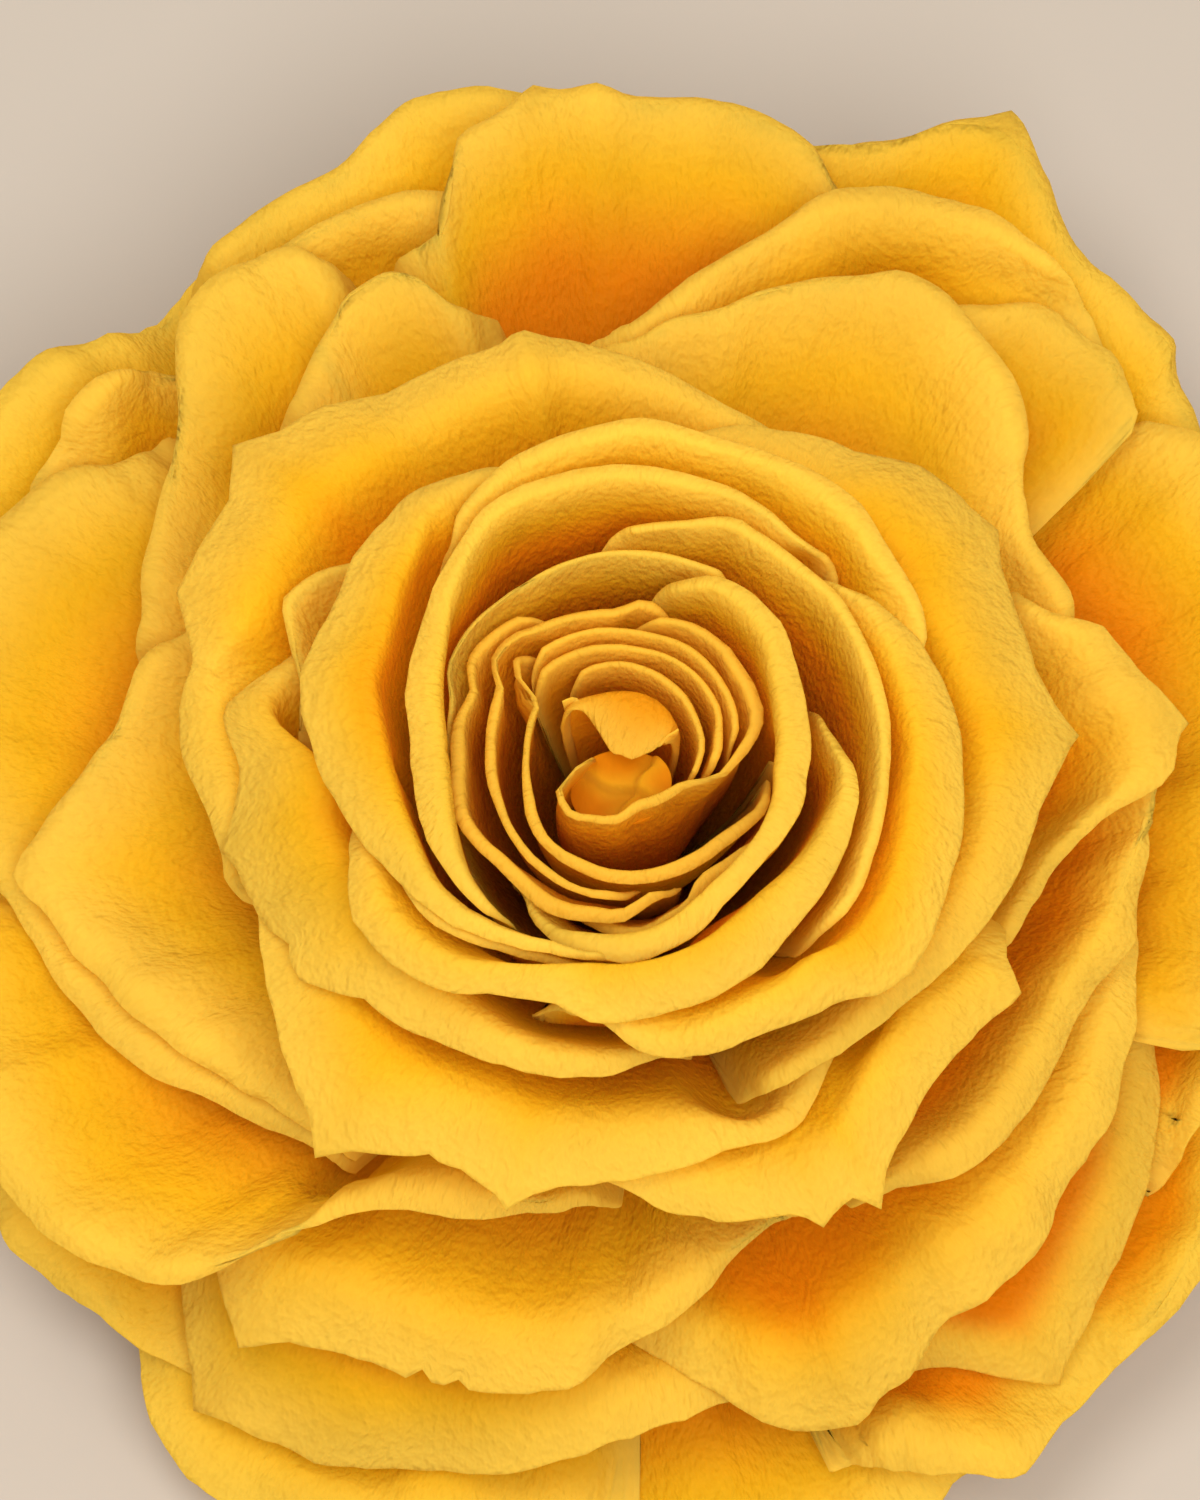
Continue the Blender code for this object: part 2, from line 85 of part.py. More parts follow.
def eased(x, xs, ys):
    """A smooth curve through the given points that doesn't overshoot between them."""
    xs, ys = np.asarray(xs, float), np.asarray(ys, float)
    step = np.diff(xs)
    slope = np.diff(ys) / step
    rate = np.zeros(len(xs))
    inner = slope[:-1] * slope[1:] > 0
    mean = 2 * slope[:-1] * slope[1:] / np.where(inner, slope[:-1] + slope[1:], 1)
    rate[1:-1] = np.where(inner, mean, 0)
    rate[0], rate[-1] = slope[0] * 0.5, slope[-1] * 0.5
    i = np.clip(np.searchsorted(xs, x) - 1, 0, len(xs) - 2)
    t = np.clip((x - xs[i]) / step[i], 0, 1)
    a, b = rate[i] * step[i], rate[i + 1] * step[i]
    return ys[i] + t * (a + t * (3 * (ys[i + 1] - ys[i]) - 2 * a - b + t * (a + b - 2 * (ys[i + 1] - ys[i]))))


def sheet(arch, base, points, az, s):
    """(rho, psi) of a petal's middle at azimuths az, for s from 0 at the base over 1 at the crest to 2 at the lip's edge."""
    where, radius, height, out, drop = (np.array(column, float) for column in zip(*points))
    r, z = eased(az, where, radius), eased(az, where, height) - O_Z
    r_edge, z_edge = r + np.interp(az, where, out), z - np.interp(az, where, drop)
    rho, psi = np.hypot(r, z)[:, None], np.degrees(np.arctan2(z, r))[:, None]
    rho_edge, psi_edge = np.hypot(r_edge, z_edge)[:, None], np.degrees(np.arctan2(z_edge, r_edge))[:, None]
    t, lip = np.clip(s, 0, 1)[None, :], np.clip(s - 1, 0, 1)[None, :]
    body_rho = BASE_RHO + (rho - BASE_RHO) * t
    body_psi = base + (psi - base) * t**0.9 + arch * 4 * t * (1 - t) * (1 - 0.35 * t)
    bend = 1 - (1 - lip) ** 1.5
    return (
        np.where(lip > 0, rho + (rho_edge - rho) * lip + 0.25 * np.sin(np.pi * lip), body_rho),
        np.where(lip > 0, psi + (psi_edge - psi) * (0.35 * bend + 0.65 * lip), body_psi),
    )


def spread(field, cells_az, cells_rho, pick):
    """The largest or least value within so many cells either way."""
    for _ in range(cells_az):
        field = pick(field, pick(np.roll(field, 1, 0), np.roll(field, -1, 0)))
    for _ in range(cells_rho):
        padded = np.pad(field, ((0, 0), (1, 1)), mode="edge")
        field = pick(field, pick(padded[:, :-2], padded[:, 2:]))
    return field


def blurred(field, cells_az, cells_rho):
    """The mean over so many cells either way."""
    total = sum(np.roll(field, k, 0) for k in range(-cells_az, cells_az + 1)) / (2 * cells_az + 1)
    padded = np.pad(total, ((0, 0), (cells_rho, cells_rho)), mode="edge")
    return sum(padded[:, k : k + total.shape[1]] for k in range(2 * cells_rho + 1)) / (2 * cells_rho + 1)


def read(field, az, rho):
    """The field between its cells."""
    a = (np.asarray(az) / STEP_AZ) % len(AZ)
    b = np.clip((rho - RHO[0]) / STEP_RHO, 0, len(RHO) - 1.001)
    a = np.broadcast_to(a, b.shape)
    i, j = np.floor(a).astype(int), np.floor(b).astype(int)
    u, v = a - i, b - j
    n = (i + 1) % len(AZ)
    i = i % len(AZ)
    near = field[i, j] * (1 - v) + field[i, j + 1] * v
    far = field[n, j] * (1 - v) + field[n, j + 1] * v
    return near * (1 - u) + far * u


def lay_petals():
    """For each petal its base angle and the field of how far it is pushed down to clear those laid before it."""
    least = np.full((len(AZ), len(RHO)), 100.0)
    s = np.concatenate([np.linspace(0, 1, 140), np.linspace(1.04, 2, 25)])
    laid = []
    for order, (name, arch, points) in enumerate(PETALS):
        base = 84.0 - 106.0 * order / (len(PETALS) - 1)
        first, last = points[0][0], points[-1][0]
        az = np.arange(math.floor(first / STEP_AZ), math.ceil(last / STEP_AZ) + 1) * STEP_AZ
        rho, psi = sheet(arch, base, points, np.clip(az, first, last), s)
        apart = np.interp(RHO, CLEAR_RHO, CLEAR)
        limit = spread(least, 1, 1, np.minimum) - np.degrees(apart / RHO)[None, :]
        row = np.broadcast_to((np.round(az / STEP_AZ).astype(int) % len(AZ))[:, None], rho.shape)
        cell = np.clip(np.round((rho - RHO[0]) / STEP_RHO).astype(int), 0, len(RHO) - 1)
        push = np.zeros_like(least)
        np.maximum.at(push, (row, cell), psi - limit[row, cell])
        # Where the sheet passes, the push is widened before it is smoothed, so that smoothing never takes any back.
        push = blurred(blurred(spread(push, 3, 3, np.maximum), 2, 2), 1, 1)
        psi = psi - read(push, az[:, None], rho)
        for shift in (-1, 0, 1):
            np.minimum.at(least, (row, np.clip(cell + shift, 0, len(RHO) - 1)), psi)
        laid.append((base, push))
    return laid


def petal_points(order, laid, az, s_rows):
    """Points in mm of petal number order, one row of s per column of azimuth."""
    _, arch, points = PETALS[order]
    base, push = laid[order]
    out = np.empty((len(az), s_rows.shape[1], 3))
    for k, a in enumerate(az):
        rho, psi = sheet(arch, base, points, np.array([a]), s_rows[k])
        psi = np.radians(psi - read(push, np.array([[a]]), rho))[0]
        out[k, :, 0] = rho[0] * np.cos(psi) * math.cos(math.radians(a))
        out[k, :, 1] = rho[0] * np.cos(psi) * math.sin(math.radians(a))
        out[k, :, 2] = O_Z + rho[0] * np.sin(psi)
    return out


def heading(middle):
    """The direction from row to row of a grid of points: at a bend, halfway between those before and after it."""
    step = np.diff(middle, axis=0)
    step /= np.maximum(np.linalg.norm(step, axis=2, keepdims=True), 1e-9)
    return np.concatenate([step[:1], step[:-1] + step[1:], step[-1:]])


def solid(name, middle, thick, colour):
    """A closed body with this middle and thickness, its triangles split alike on both faces."""
    normal = np.cross(heading(middle), heading(middle.swapaxes(0, 1)).swapaxes(0, 1))
    normal /= np.maximum(np.linalg.norm(normal, axis=2, keepdims=True), 1e-9)
    half = normal * (thick / 2)[..., None]
    n, m = middle.shape[:2]
    points = np.concatenate([(middle + half).reshape(-1, 3), (middle - half).reshape(-1, 3)])
    top = np.arange(n * m).reshape(n, m)
    under = top + n * m
    faces = []
    for i in range(n - 1):
        for j in range(m - 1):
            a, b, c, d = (i, j), (i + 1, j), (i + 1, j + 1), (i, j + 1)
            faces += [(top[a], top[b], top[c]), (top[a], top[c], top[d])]
            faces += [(under[a], under[c], under[b]), (under[a], under[d], under[c])]
    ring = [(i, 0) for i in range(n)] + [(n - 1, j) for j in range(1, m)]
    ring += [(i, m - 1) for i in range(n - 2, -1, -1)] + [(0, j) for j in range(m - 2, 0, -1)]
    for p, q in zip(ring, ring[1:] + ring[:1]):
        faces += [(top[q], top[p], under[p]), (top[q], under[p], under[q])]
    return body(name, points, faces, colour)


def body(name, points, faces, colour, rough=0.62):
    corners = points[np.array(faces)]
    volume = np.einsum("ij,ij->i", corners[:, 0], np.cross(corners[:, 1], corners[:, 2])).sum()
    if volume < 0:
        faces = [face[::-1] for face in faces]
    mesh = bpy.data.meshes.new(name)
    mesh.from_pydata(((points + SHIFT) * MM).tolist(), [], [tuple(int(v) for v in face) for face in faces])
    obj = bpy.data.objects.new(name, mesh)
    bpy.context.scene.collection.objects.link(obj)
    material = bpy.data.materials.new(name)
    material.use_nodes = True
    shader = material.node_tree.nodes["Principled BSDF"]
    shader.inputs["Base Color"].default_value = (*colour, 1)
    shader.inputs["Roughness"].default_value = rough
    mesh.materials.append(material)
    return obj


def turned(name, profile, sides, colour, rough):
    """A closed body turned round Z from (radius, height) pairs in mm, with a point or a flat at either end."""
    points, faces, rings = [], [], []
    for radius, height in profile:
        if radius < 1e-6:
            rings.append([len(points)])
            points.append((0, 0, height))
            continue
        rings.append(list(range(len(points), len(points) + sides)))
        for k in range(sides):
            turn = 2 * math.pi * k / sides
            points.append((radius * math.cos(turn), radius * math.sin(turn), height))
    for low, high in zip(rings, rings[1:]):
        for k in range(sides):
            a, b = low[k % len(low)], low[(k + 1) % len(low)]
            c, d = high[(k + 1) % len(high)], high[k % len(high)]
            if a != b:
                faces.append((a, b, c))
            if c != d:
                faces.append((a, c, d))
    return body(name, np.array(points, float), faces, colour, rough)


COMMON_RHO = (BASE_RHO, 12.0, 18.0, 25.0, 33.0, 41.0)
COMMON_AZ = 15.0


def petal_colour(order):
    deep = order / (len(PETALS) - 1)
    return (0.86 - 0.05 * deep, 0.46 + 0.08 * math.sin(2.4 * order), 0.02)


def main():
    for obj in list(bpy.data.objects):
        bpy.data.objects.remove(obj)
    laid = lay_petals()
    for order, (name, arch, points) in enumerate(PETALS):
        first, last = points[0][0], points[-1][0]
        lines = np.arange(math.ceil(first / COMMON_AZ), math.floor(last / COMMON_AZ) + 1) * COMMON_AZ
        az = np.array([first, *[a for a in lines if first + 4 < a < last - 4], last], float)
        rho_crest = sheet(arch, 0, points, az, np.array([1.0]))[0][:, 0]
        rows = [rho for rho in COMMON_RHO if rho < rho_crest.max() - 3]
        count = len(rows)
        s_rows = np.empty((len(az), count + 2))
        for k, reach in enumerate(rho_crest):
            for i, rho in enumerate(rows):
                rho = min(rho, reach - 1.2 * (count - i)) if i else rho
                s_rows[k, i] = (rho - BASE_RHO) / (reach - BASE_RHO)
            s_rows[k, count], s_rows[k, count + 1] = 1, 2
        middle = petal_points(order, laid, az, s_rows)
        # A lip shorter than the petal is thick can't turn over: it stands on as a short rim, and a whole petal of such
        # lips ends at its crest.
        lip = middle[:, -1] - middle[:, -2]
        length = np.linalg.norm(lip, axis=1, keepdims=True)
        if length.max() < LEAST_LIP:
            middle, s_rows = middle[:, :-1], s_rows[:, :-1]
        else:
            rise = middle[:, -2] - middle[:, -3]
            rise /= np.linalg.norm(rise, axis=1, keepdims=True)
            stand = rise + lip / length
            stand *= np.maximum(length, 0.5) / np.linalg.norm(stand, axis=1, keepdims=True)
            turn = np.clip((length - LEAST_LIP) / 0.5, 0, 1)
            middle[:, -1] = middle[:, -2] + turn * lip + (1 - turn) * stand
        thick = THICK_BASE + (THICK_RIM - THICK_BASE) * np.clip(s_rows, 0, 1)
        solid(name, middle, thick, petal_colour(order))

    # The cup below the petals: the dome they grow from, narrowing to the neck of the stem.
    dome = [(DOME * math.cos(math.radians(a)), O_Z + DOME * math.sin(math.radians(a))) for a in range(-40, 90, 13)]
    turned("hip", [(0, 4.3), (3.2, 4.3), (3.9, 6.0), *dome, (0, O_Z + DOME)], 20, (0.16, 0.24, 0.05), 0.6)
    turned("stem_stub", [(0, 0), (2.7, 0), (2.8, 0.5), (2.9, 4.0), (0, 4.0)], 16, (0.13, 0.22, 0.05), 0.6)
    for k in range(5):
        turn = math.radians(72 * k + 20)
        line = [(5.15, 6.7, 2.7), (9, 4.4, 3.6), (14, 2.7, 3.4), (19, 1.5, 2.6), (24, 0.7, 1.5), (28, 0.26, 0.5)]
        middle = np.array(
            [
                [
                    (
                        r * math.cos(turn) - side * half * math.sin(turn),
                        r * math.sin(turn) + side * half * math.cos(turn),
                        z - 0.5 * (abs(side) > 0.5) * half / 3.6 * min(1.0, (z - 0.3) / 1.2),
                    )
                    for r, z, half in line
                ]
                for side in (-1, 0, 1)
            ]
        )
        solid(f"sepal_{k + 1}", middle, np.full(middle.shape[:2], 0.5), (0.18, 0.27, 0.06))


main()
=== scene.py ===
"""Looks for a preserved rose, built round the frame: its petals, bud, calyx and stem stub, and the stage."""

import math

import bpy
import numpy as np
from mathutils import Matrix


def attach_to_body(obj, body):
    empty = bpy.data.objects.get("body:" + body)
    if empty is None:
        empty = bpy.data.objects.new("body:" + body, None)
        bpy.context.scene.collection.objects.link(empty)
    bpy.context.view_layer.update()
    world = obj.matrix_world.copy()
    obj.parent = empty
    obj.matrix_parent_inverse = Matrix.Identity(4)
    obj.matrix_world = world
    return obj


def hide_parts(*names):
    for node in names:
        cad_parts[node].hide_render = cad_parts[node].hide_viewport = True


bl_info = {
    "name": "Preserved Rose",
    "version": (1, 0, 0),
    "blender": (4, 5, 0),
    "location": "View3D > Sidebar > Rose",
    "description": "Builds a wide-open preserved rose head, petal by petal",
    "category": "Add Mesh",
}

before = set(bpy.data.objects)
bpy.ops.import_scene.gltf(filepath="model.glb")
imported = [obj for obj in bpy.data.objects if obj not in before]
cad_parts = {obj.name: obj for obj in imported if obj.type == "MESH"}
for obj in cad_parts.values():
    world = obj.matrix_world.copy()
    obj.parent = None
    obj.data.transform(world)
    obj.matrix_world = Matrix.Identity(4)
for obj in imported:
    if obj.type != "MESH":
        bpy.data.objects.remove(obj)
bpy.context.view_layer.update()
BODY = "root"

MM = 0.001
SHIFT = (0.431, -3.875, 0.0)  # mm from the origin to where the bloom axis stands
O_Z = 12.0  # mm: height of O, the middle of the dome that the petals grow from
BASE_RHO = 7.35  # mm from O to the foot of a petal
# Degrees: slope of the first petal at its foot, and how much lower the last one's is.
FOOT_TOP, FOOT_FALL = 84.0, 106.0
CLEAR = (0.36, 0.42, 0.55, 0.80)  # mm between the middles of two petals, at CLEAR_RHO from O
CLEAR_RHO = (9, 21, 37, 45)
# The grid on which petals are kept apart: degrees round the axis, and mm from O.
STEP_AZ, STEP_RHO, MIN_RHO, MAX_RHO = 1.0, 0.25, 4.0, 70.0
# Degrees past its "free" azimuth over which a petal stops making way, and after which it makes way again.
FREE_FADE, FREE_TO = 8.0, 120.0

# Petals from the heart outwards. Name, arch in degrees (above zero the sheet climbs early, below zero it
# bellies out), then along the crest: azimuth in degrees, radius and height in mm, how far the lip reaches out
# and how far it drops. Where the last two aren't given, they are those of the point before.
PETALS = [
    ("heart_petal_1", -1.0, [(16, 3.4, 45.5, -1.4, 0.7), (50, 3.5, 46.3, -1.7, 0.9), (90, 3.6, 46.5, -1.9, 1),
     (120, 3.9, 46.5, -2, 1), (148, 4.8, 46, -1.2, 0.6)]),
    ("heart_petal_2", -1.4, [(-20, 4.3, 45.5, 0.4, 0.13), (5, 4.5, 46), (22, 4.4, 46.3), (49, 4.5, 46.5),
     (79, 4.9, 46.5), (94, 5.3, 46.2), (118, 5.6, 45.5)]),
    ("heart_petal_3", -1.8, [(-8, 5, 46, 0.4, 0.13), (11, 5.7, 46), (23, 6, 46.3), (48, 6.1, 46.5),
     (69, 6.2, 46.5), (93, 6.2, 46.5), (115, 6.7, 46.3), (135, 7, 45.8)]),
    ("heart_petal_4", -2.1, [(10, 6.5, 46, 0.4, 0.13), (36, 6.8, 46.5), (58, 7.1, 46.8), (83, 7.1, 46.8),
     (103, 7.3, 46.8), (128, 7.6, 46.3)]),
    ("heart_petal_5", -2.4, [(196, 2.2, 45, 0.4, 0.13), (205, 3.5, 45.8, 0.5, 0.13), (214, 5, 46),
     (231, 5.6, 46.2), (244, 5.2, 46.3), (262, 4.7, 46.3, 0.6, 0.23), (281, 3.8, 46.3), (311, 3.9, 46.3),
     (335, 4.5, 46.3), (350, 5.2, 46.4), (364, 6, 46.5, 0.7, 0.23), (376, 7.1, 46.6), (386, 7.9, 46.8),
     (403, 8.4, 47), (422, 8.5, 47, 0.6, 0.23), (435, 8.3, 46.8, 0.5, 0.13)]),
    ("heart_petal_6", -2.8, [(140, 5.2, 46.3, 0.5, 0.13), (156, 6, 46.3), (178, 6.1, 46.2), (200, 6.4, 46),
     (221, 7.3, 46, 0.6, 0.23), (235, 7.8, 46, 0.7, 0.33), (247, 7.9, 46, 0.8, 0.43),
     (267, 8.1, 46, 0.9, 0.43), (281, 8.1, 46), (297, 8.1, 46), (311, 8.2, 46, 0.8, 0.33),
     (324, 8.6, 46, 0.7, 0.23), (338, 9.2, 45.8, 0.5, 0.13)]),
    ("heart_petal_7", -2.8, [(80, 7.6, 46.8, 0.5, 0.13), (95, 7.8, 47), (114, 8, 47, 0.6, 0.23),
     (132, 8.1, 47), (150, 8.3, 47), (178, 8.3, 46.8), (192, 8.4, 46.8), (208, 8.6, 46.6), (221, 9, 46.5),
     (232, 9.2, 46.3), (244, 9.3, 46.2), (262, 9, 46, 0.5, 0.13)]),
    ("heart_petal_8", -2.0, [(128, 8.7, 46.5, 0.5, 0.13), (147, 9.2, 46.5, 0.6, 0.23), (159, 9.8, 46.5),
     (172, 10.3, 46.5, 0.7, 0.23), (184, 10.3, 46.5), (195, 10.6, 46.6), (205, 11, 46.6, 0.7, 0.33),
     (215, 10.9, 46.6), (226, 10.5, 46.6, 0.8, 0.33), (245, 9.8, 46.6, 0.9, 0.43), (260, 9.2, 46.8),
     (278, 9.5, 46.6, 0.7, 0.33)]),
    ("heart_petal_9", -1.2, [(266, 9.1, 45.6, 0.6, 0.23), (291, 9.7, 46.4, 0.8, 0.33),
     (300, 9.7, 46.5, 0.9, 0.43), (313, 9.8, 46.5, 0.8, 0.33), (333, 9.5, 46, 0.6, 0.23),
     (347, 9.2, 45.4, 0.5, 0.13)]),
    ("bowl_petal_1", -1.4, [(238, 10.4, 44.6, 0.3, 0.2), (248, 11.2, 46.2, 0.7, 0.3),
     (258, 11.9, 47.5, 1.4, 0.54), (269, 12.4, 48, 2.2, 0.83), (279, 12.1, 48.3, 2.1, 0.83),
     (291, 11.1, 48.8, 2.15, 0.81), (306, 10.7, 49.3, 1.75, 0.69), (318, 10.5, 49.6, 1.65, 0.65),
     (333, 10.1, 50, 2.05, 0.75), (347, 9.4, 50, 2.25, 0.85), (370, 9.3, 50, 2.05, 0.75),
     (385, 9.7, 50, 1.95, 0.65), (396, 10.2, 50, 1.85, 0.65), (411, 10.5, 50, 1.45, 0.55),
     (420, 10.6, 49.6, 1.2, 0.55), (430, 10.2, 48.5, 0.9, 0.45)]),
    ("bowl_petal_2", -1.0, [(62, 12.2, 47.8, 0.4, 0.2), (90, 12.3, 47.6), (120, 11.9, 47.6),
     (150, 11, 47, 0.2, 0.1), (180, 11.2, 44.4), (205, 11.8, 42.6), (220, 12.4, 42), (250, 13.4, 41)]),
    ("bowl_petal_3", -0.6, [(208, 15.8, 47.8, 0.9, 0.5), (224, 16.3, 47.8, 0.8, 0.4),
     (231, 16.2, 47.8, 0.7, 0.3), (240, 15.3, 47.2, 0.6, 0.3), (252, 14.7, 46.6, 0.5, 0.3), (262, 14.5, 46),
     (270, 14.4, 45.2, 0.4, 0.2)]),
    ("bowl_petal_4", 0.2, [(203, 15.4, 47.4, 1.6, 0.9), (208, 15.6, 47.9, 2.3, 1.2),
     (214, 16.2, 48.3, 2.7, 1.4), (225, 16.8, 48.7, 2.6, 1.4), (232, 16.9, 48.9, 2.4, 1.3),
     (243, 16.3, 49.2, 2.3, 1.24), (256, 15.2, 49.5, 2.7, 1.41), (263, 14.5, 49.7, 3.8, 1.75),
     (273, 13.9, 49.8, 3.6, 1.65), (288, 13.7, 50, 3.8, 1.65), (299, 13.4, 50, 3.8, 1.45),
     (306, 13.5, 50, 3.2, 1.24), (319, 13.7, 50, 2.5, 0.91), (328, 13.8, 50, 2.1, 0.86),
     (342, 13.8, 49.8, 1.5, 0.63), (349, 13.6, 49.6, 1, 0.5), (356, 12.8, 48.7, 0.7, 0.4),
     (364, 12.2, 47.3, 0.4, 0.3)]),
    ("bowl_petal_5", 0.4, [(320, 17.2, 48.5, 0.8, 0.4), (332, 16.6, 49, 0.7, 0.3), (346, 16, 49.5),
     (364, 15.6, 50, 0.8, 0.4), (381, 15.3, 50), (392, 15.2, 50), (408, 14.6, 50), (418, 14.6, 50),
     (422, 14.8, 50), (434, 13.9, 49.6, 0.5, 0.3), (447, 12.9, 49, 0.3, 0.2)]),
    ("bowl_petal_6", 0.8, [(262, 16.6, 46.5, 1, 0.6), (270, 17, 47.5, 1.5, 1), (284, 18, 48.5, 2, 1.4),
     (295, 18.2, 49, 2.3, 1.6), (302, 18.7, 49.3, 2.6, 1.8), (311, 18.1, 49.6, 3.5, 2.2),
     (320, 18, 49.8, 4.2, 2.6), (329, 18, 50, 3.8, 2.4), (338, 18, 50, 3.8, 2.3), (347, 17.8, 50, 3.8, 2.2),
     (355, 17.8, 50, 3.3, 2), (365, 17.4, 50, 3.2, 1.9), (379, 17, 50, 2.4, 1.4), (389, 16.7, 49.6, 1.2, 0.8),
     (395, 16.1, 49, 0.5, 0.3)]),
    ("bowl_petal_7", 0.8, [(48, 16, 49.6, 0.6, 0.3), (65, 16, 50.4, 0.9, 0.4), (83, 16, 51, 1.2, 0.5),
     (90, 16, 51), (106, 15.8, 51, 1.3, 0.5), (115, 15.9, 51), (122, 15.6, 51, 1.4, 0.6),
     (131, 14.6, 51, 1.5, 0.6), (140, 13.7, 50.8, 1.8, 0.8), (156, 12.2, 50.6, 2.2, 1),
     (170, 11.6, 50.4, 2.4, 1.1), (184, 11.2, 50.2, 2.3, 1.1), (198, 11.5, 50), (210, 12.2, 49.6, 2.1, 1),
     (218, 12.9, 49.3, 1.5, 0.8), (226, 13.6, 48.8, 0.9, 0.5), (234, 14, 48, 0.5, 0.3)]),
    ("bowl_petal_8", 1.0, [(20, 18, 48.5, 0.6, 0.3), (30, 18.6, 49.4, 1, 0.5), (36, 18.9, 50, 1.5, 0.8),
     (45, 19.3, 50.4, 1.7, 0.9), (58, 19.2, 50.8, 1.5, 0.8), (73, 18.8, 51, 1.4, 0.7), (87, 19, 51, 1.3, 0.6),
     (95, 18.6, 51), (102, 18, 51), (110, 17.3, 50.8, 1.2, 0.5), (118, 16.8, 50.5, 1, 0.5),
     (124, 16.6, 50, 0.6, 0.3)]),
    ("bowl_petal_9", 1.0, [(111, 17.6, 49, 0.6, 0.4), (118, 17.7, 49.4, 1.3, 0.8), (126, 17.6, 49.8, 2, 1.1),
     (133, 17.6, 50, 3, 1.5), (139, 17.4, 50, 3.6, 1.8), (145, 17, 50, 4, 2), (152, 16.4, 50, 4.1, 2.1),
     (160, 16, 50, 4.6, 2.3), (166, 16, 50, 4.9, 2.4), (175, 15.4, 50, 5, 2.4), (184, 14.9, 50, 4.5, 2.2),
     (195, 14.6, 50, 3.8, 1.9), (205, 14.6, 49.8, 3.1, 1.6), (214, 14.9, 49.6, 2.2, 1.2),
     (222, 15.2, 49.4, 1.7, 0.9), (230, 15.1, 49.2, 1.5, 0.8), (238, 14.8, 49, 1.2, 0.7),
     (246, 14.5, 48.8, 1, 0.5), (254, 14.2, 48.4, 0.7, 0.4), (262, 14.1, 47.6, 0.4, 0.3)]),
    ("open_petal_1", 1.2, [(140, 21.2, 42.5, 0.6, 0.4), (147, 22.8, 43, 0.8, 0.5), (153, 23.6, 43.2, 1, 0.6),
     (159, 22.3, 43, 0.8, 0.5), (166, 21, 42.5, 0.5, 0.4)]),
    ("open_petal_2", 2.4, [(162, 20.6, 42.5, 1, 0.7), (169, 20.8, 43.5, 3.7, 2.6), (177, 19.3, 44, 5.3, 3.6),
     (185, 18.6, 44.5, 6.6, 4.5), (190, 18.3, 44.5, 7.4, 5), (194, 18.1, 44.5, 6.9, 4.6),
     (201, 17.6, 44.5, 6.8, 4.6), (214, 18.3, 44.5, 6.2, 4.2), (223, 18.6, 44.3, 3.9, 2.8),
     (231, 18.8, 44.2, 3.6, 2.6), (241, 19, 44, 2.9, 2), (255, 19.3, 43.6, 2.1, 1.4), (266, 19, 43, 1.8, 1.2),
     (276, 18.4, 42, 0.8, 0.6)]),
    ("open_petal_3", 3.0, [(297, 21.6, 40, 1, 0.8), (308, 21.8, 41.5, 1.2, 0.9), (317, 21.9, 42.5, 1.5, 1.1),
     (323, 22, 43, 2, 1.4), (331, 22.2, 43.5, 2.5, 1.8), (342, 22.4, 44, 3.5, 2.3), (354, 22.6, 44, 4, 2.6),
     (362, 22.4, 44, 5.9, 3.6), (366, 22.2, 44, 6.9, 4.2), (370, 22.1, 44, 6, 3.6), (375, 22, 44, 5.3, 3.2),
     (383, 21.6, 44, 5.7, 3.5), (390, 21.2, 44.2, 6.7, 4), (395, 21.4, 44.4, 7.6, 4.4),
     (399, 21.8, 44.5, 6.8, 4), (404, 22, 44.6, 6.3, 3.8), (407, 22.2, 44.6, 5.9, 3.6),
     (415, 22.2, 44.6, 3.8, 2.4), (424, 22.2, 44.4, 2.8, 1.8), (432, 22.2, 44, 1.8, 1.2),
     (437, 22, 43.5, 0.8, 0.6)]),
    ("open_petal_4", 3.6, [(194, 22.4, 38.5, 2, 1), (204, 22.6, 39.2, 3, 1.4), (214, 23, 39.8, 4, 1.8),
     (224, 23.2, 40, 5.7, 2.8), (230.5, 23.2, 40, 6.8, 3.4), (234, 23.2, 40, 6.1, 3), (240, 23, 40, 5.1, 2.4),
     (248, 22.8, 40, 4.6, 2.2), (255, 22.8, 40, 5.2, 2.6), (261, 22.6, 40, 4.3, 2.1),
     (267, 22.4, 39.9, 4, 1.9), (273, 22.2, 39.8, 3.8, 1.8), (281, 22.2, 39.5, 3.3, 1.6),
     (289, 22, 39.2, 2.6, 1.2), (299, 21.8, 38.8, 1.6, 0.8), (308, 21.6, 38.2, 0.8, 0.5)]),
    ("open_petal_5", 4.2, [(266, 23.6, 37, 2, 1.2), (280, 24, 38.6, 3.2, 1.8), (286, 23.8, 39.2, 4.8, 2.6),
     (293.5, 23.2, 40, 7.4, 4.2), (298, 23.2, 40.3, 7, 4.2), (300.6, 23.2, 40.4, 7.6, 4.6),
     (303, 23.2, 40.4, 6.4, 4), (306, 23.4, 40.4, 5.4, 3.4), (313, 23.6, 40.4, 4.4, 2.8),
     (321, 24.2, 40.4, 3.6, 2.4), (326.5, 24.8, 40, 3.4, 2.4), (331, 25.2, 39.5), (334, 24.8, 38.5, 2, 1.2)]),
    ("open_petal_6", 4.8, [(66, 24.4, 41, 0.8, 0.6), (74, 24.4, 42, 1.4, 0.9), (80, 24.8, 42.6, 1.8, 1.2),
     (87, 25.4, 43, 2.5, 1.6), (93, 26, 43.4, 2.9, 1.8), (101, 26.6, 43.6, 3.5, 2.2),
     (110, 26.4, 43.6, 3.6, 2.2), (121, 26.2, 43.6, 3.8, 2.3), (128, 26.4, 43.6, 5.2, 3),
     (134, 26.6, 43.6, 5.6, 3.2), (138, 26.8, 43.6, 6.7, 3.8), (141, 26.8, 43.6, 5.8, 3.4),
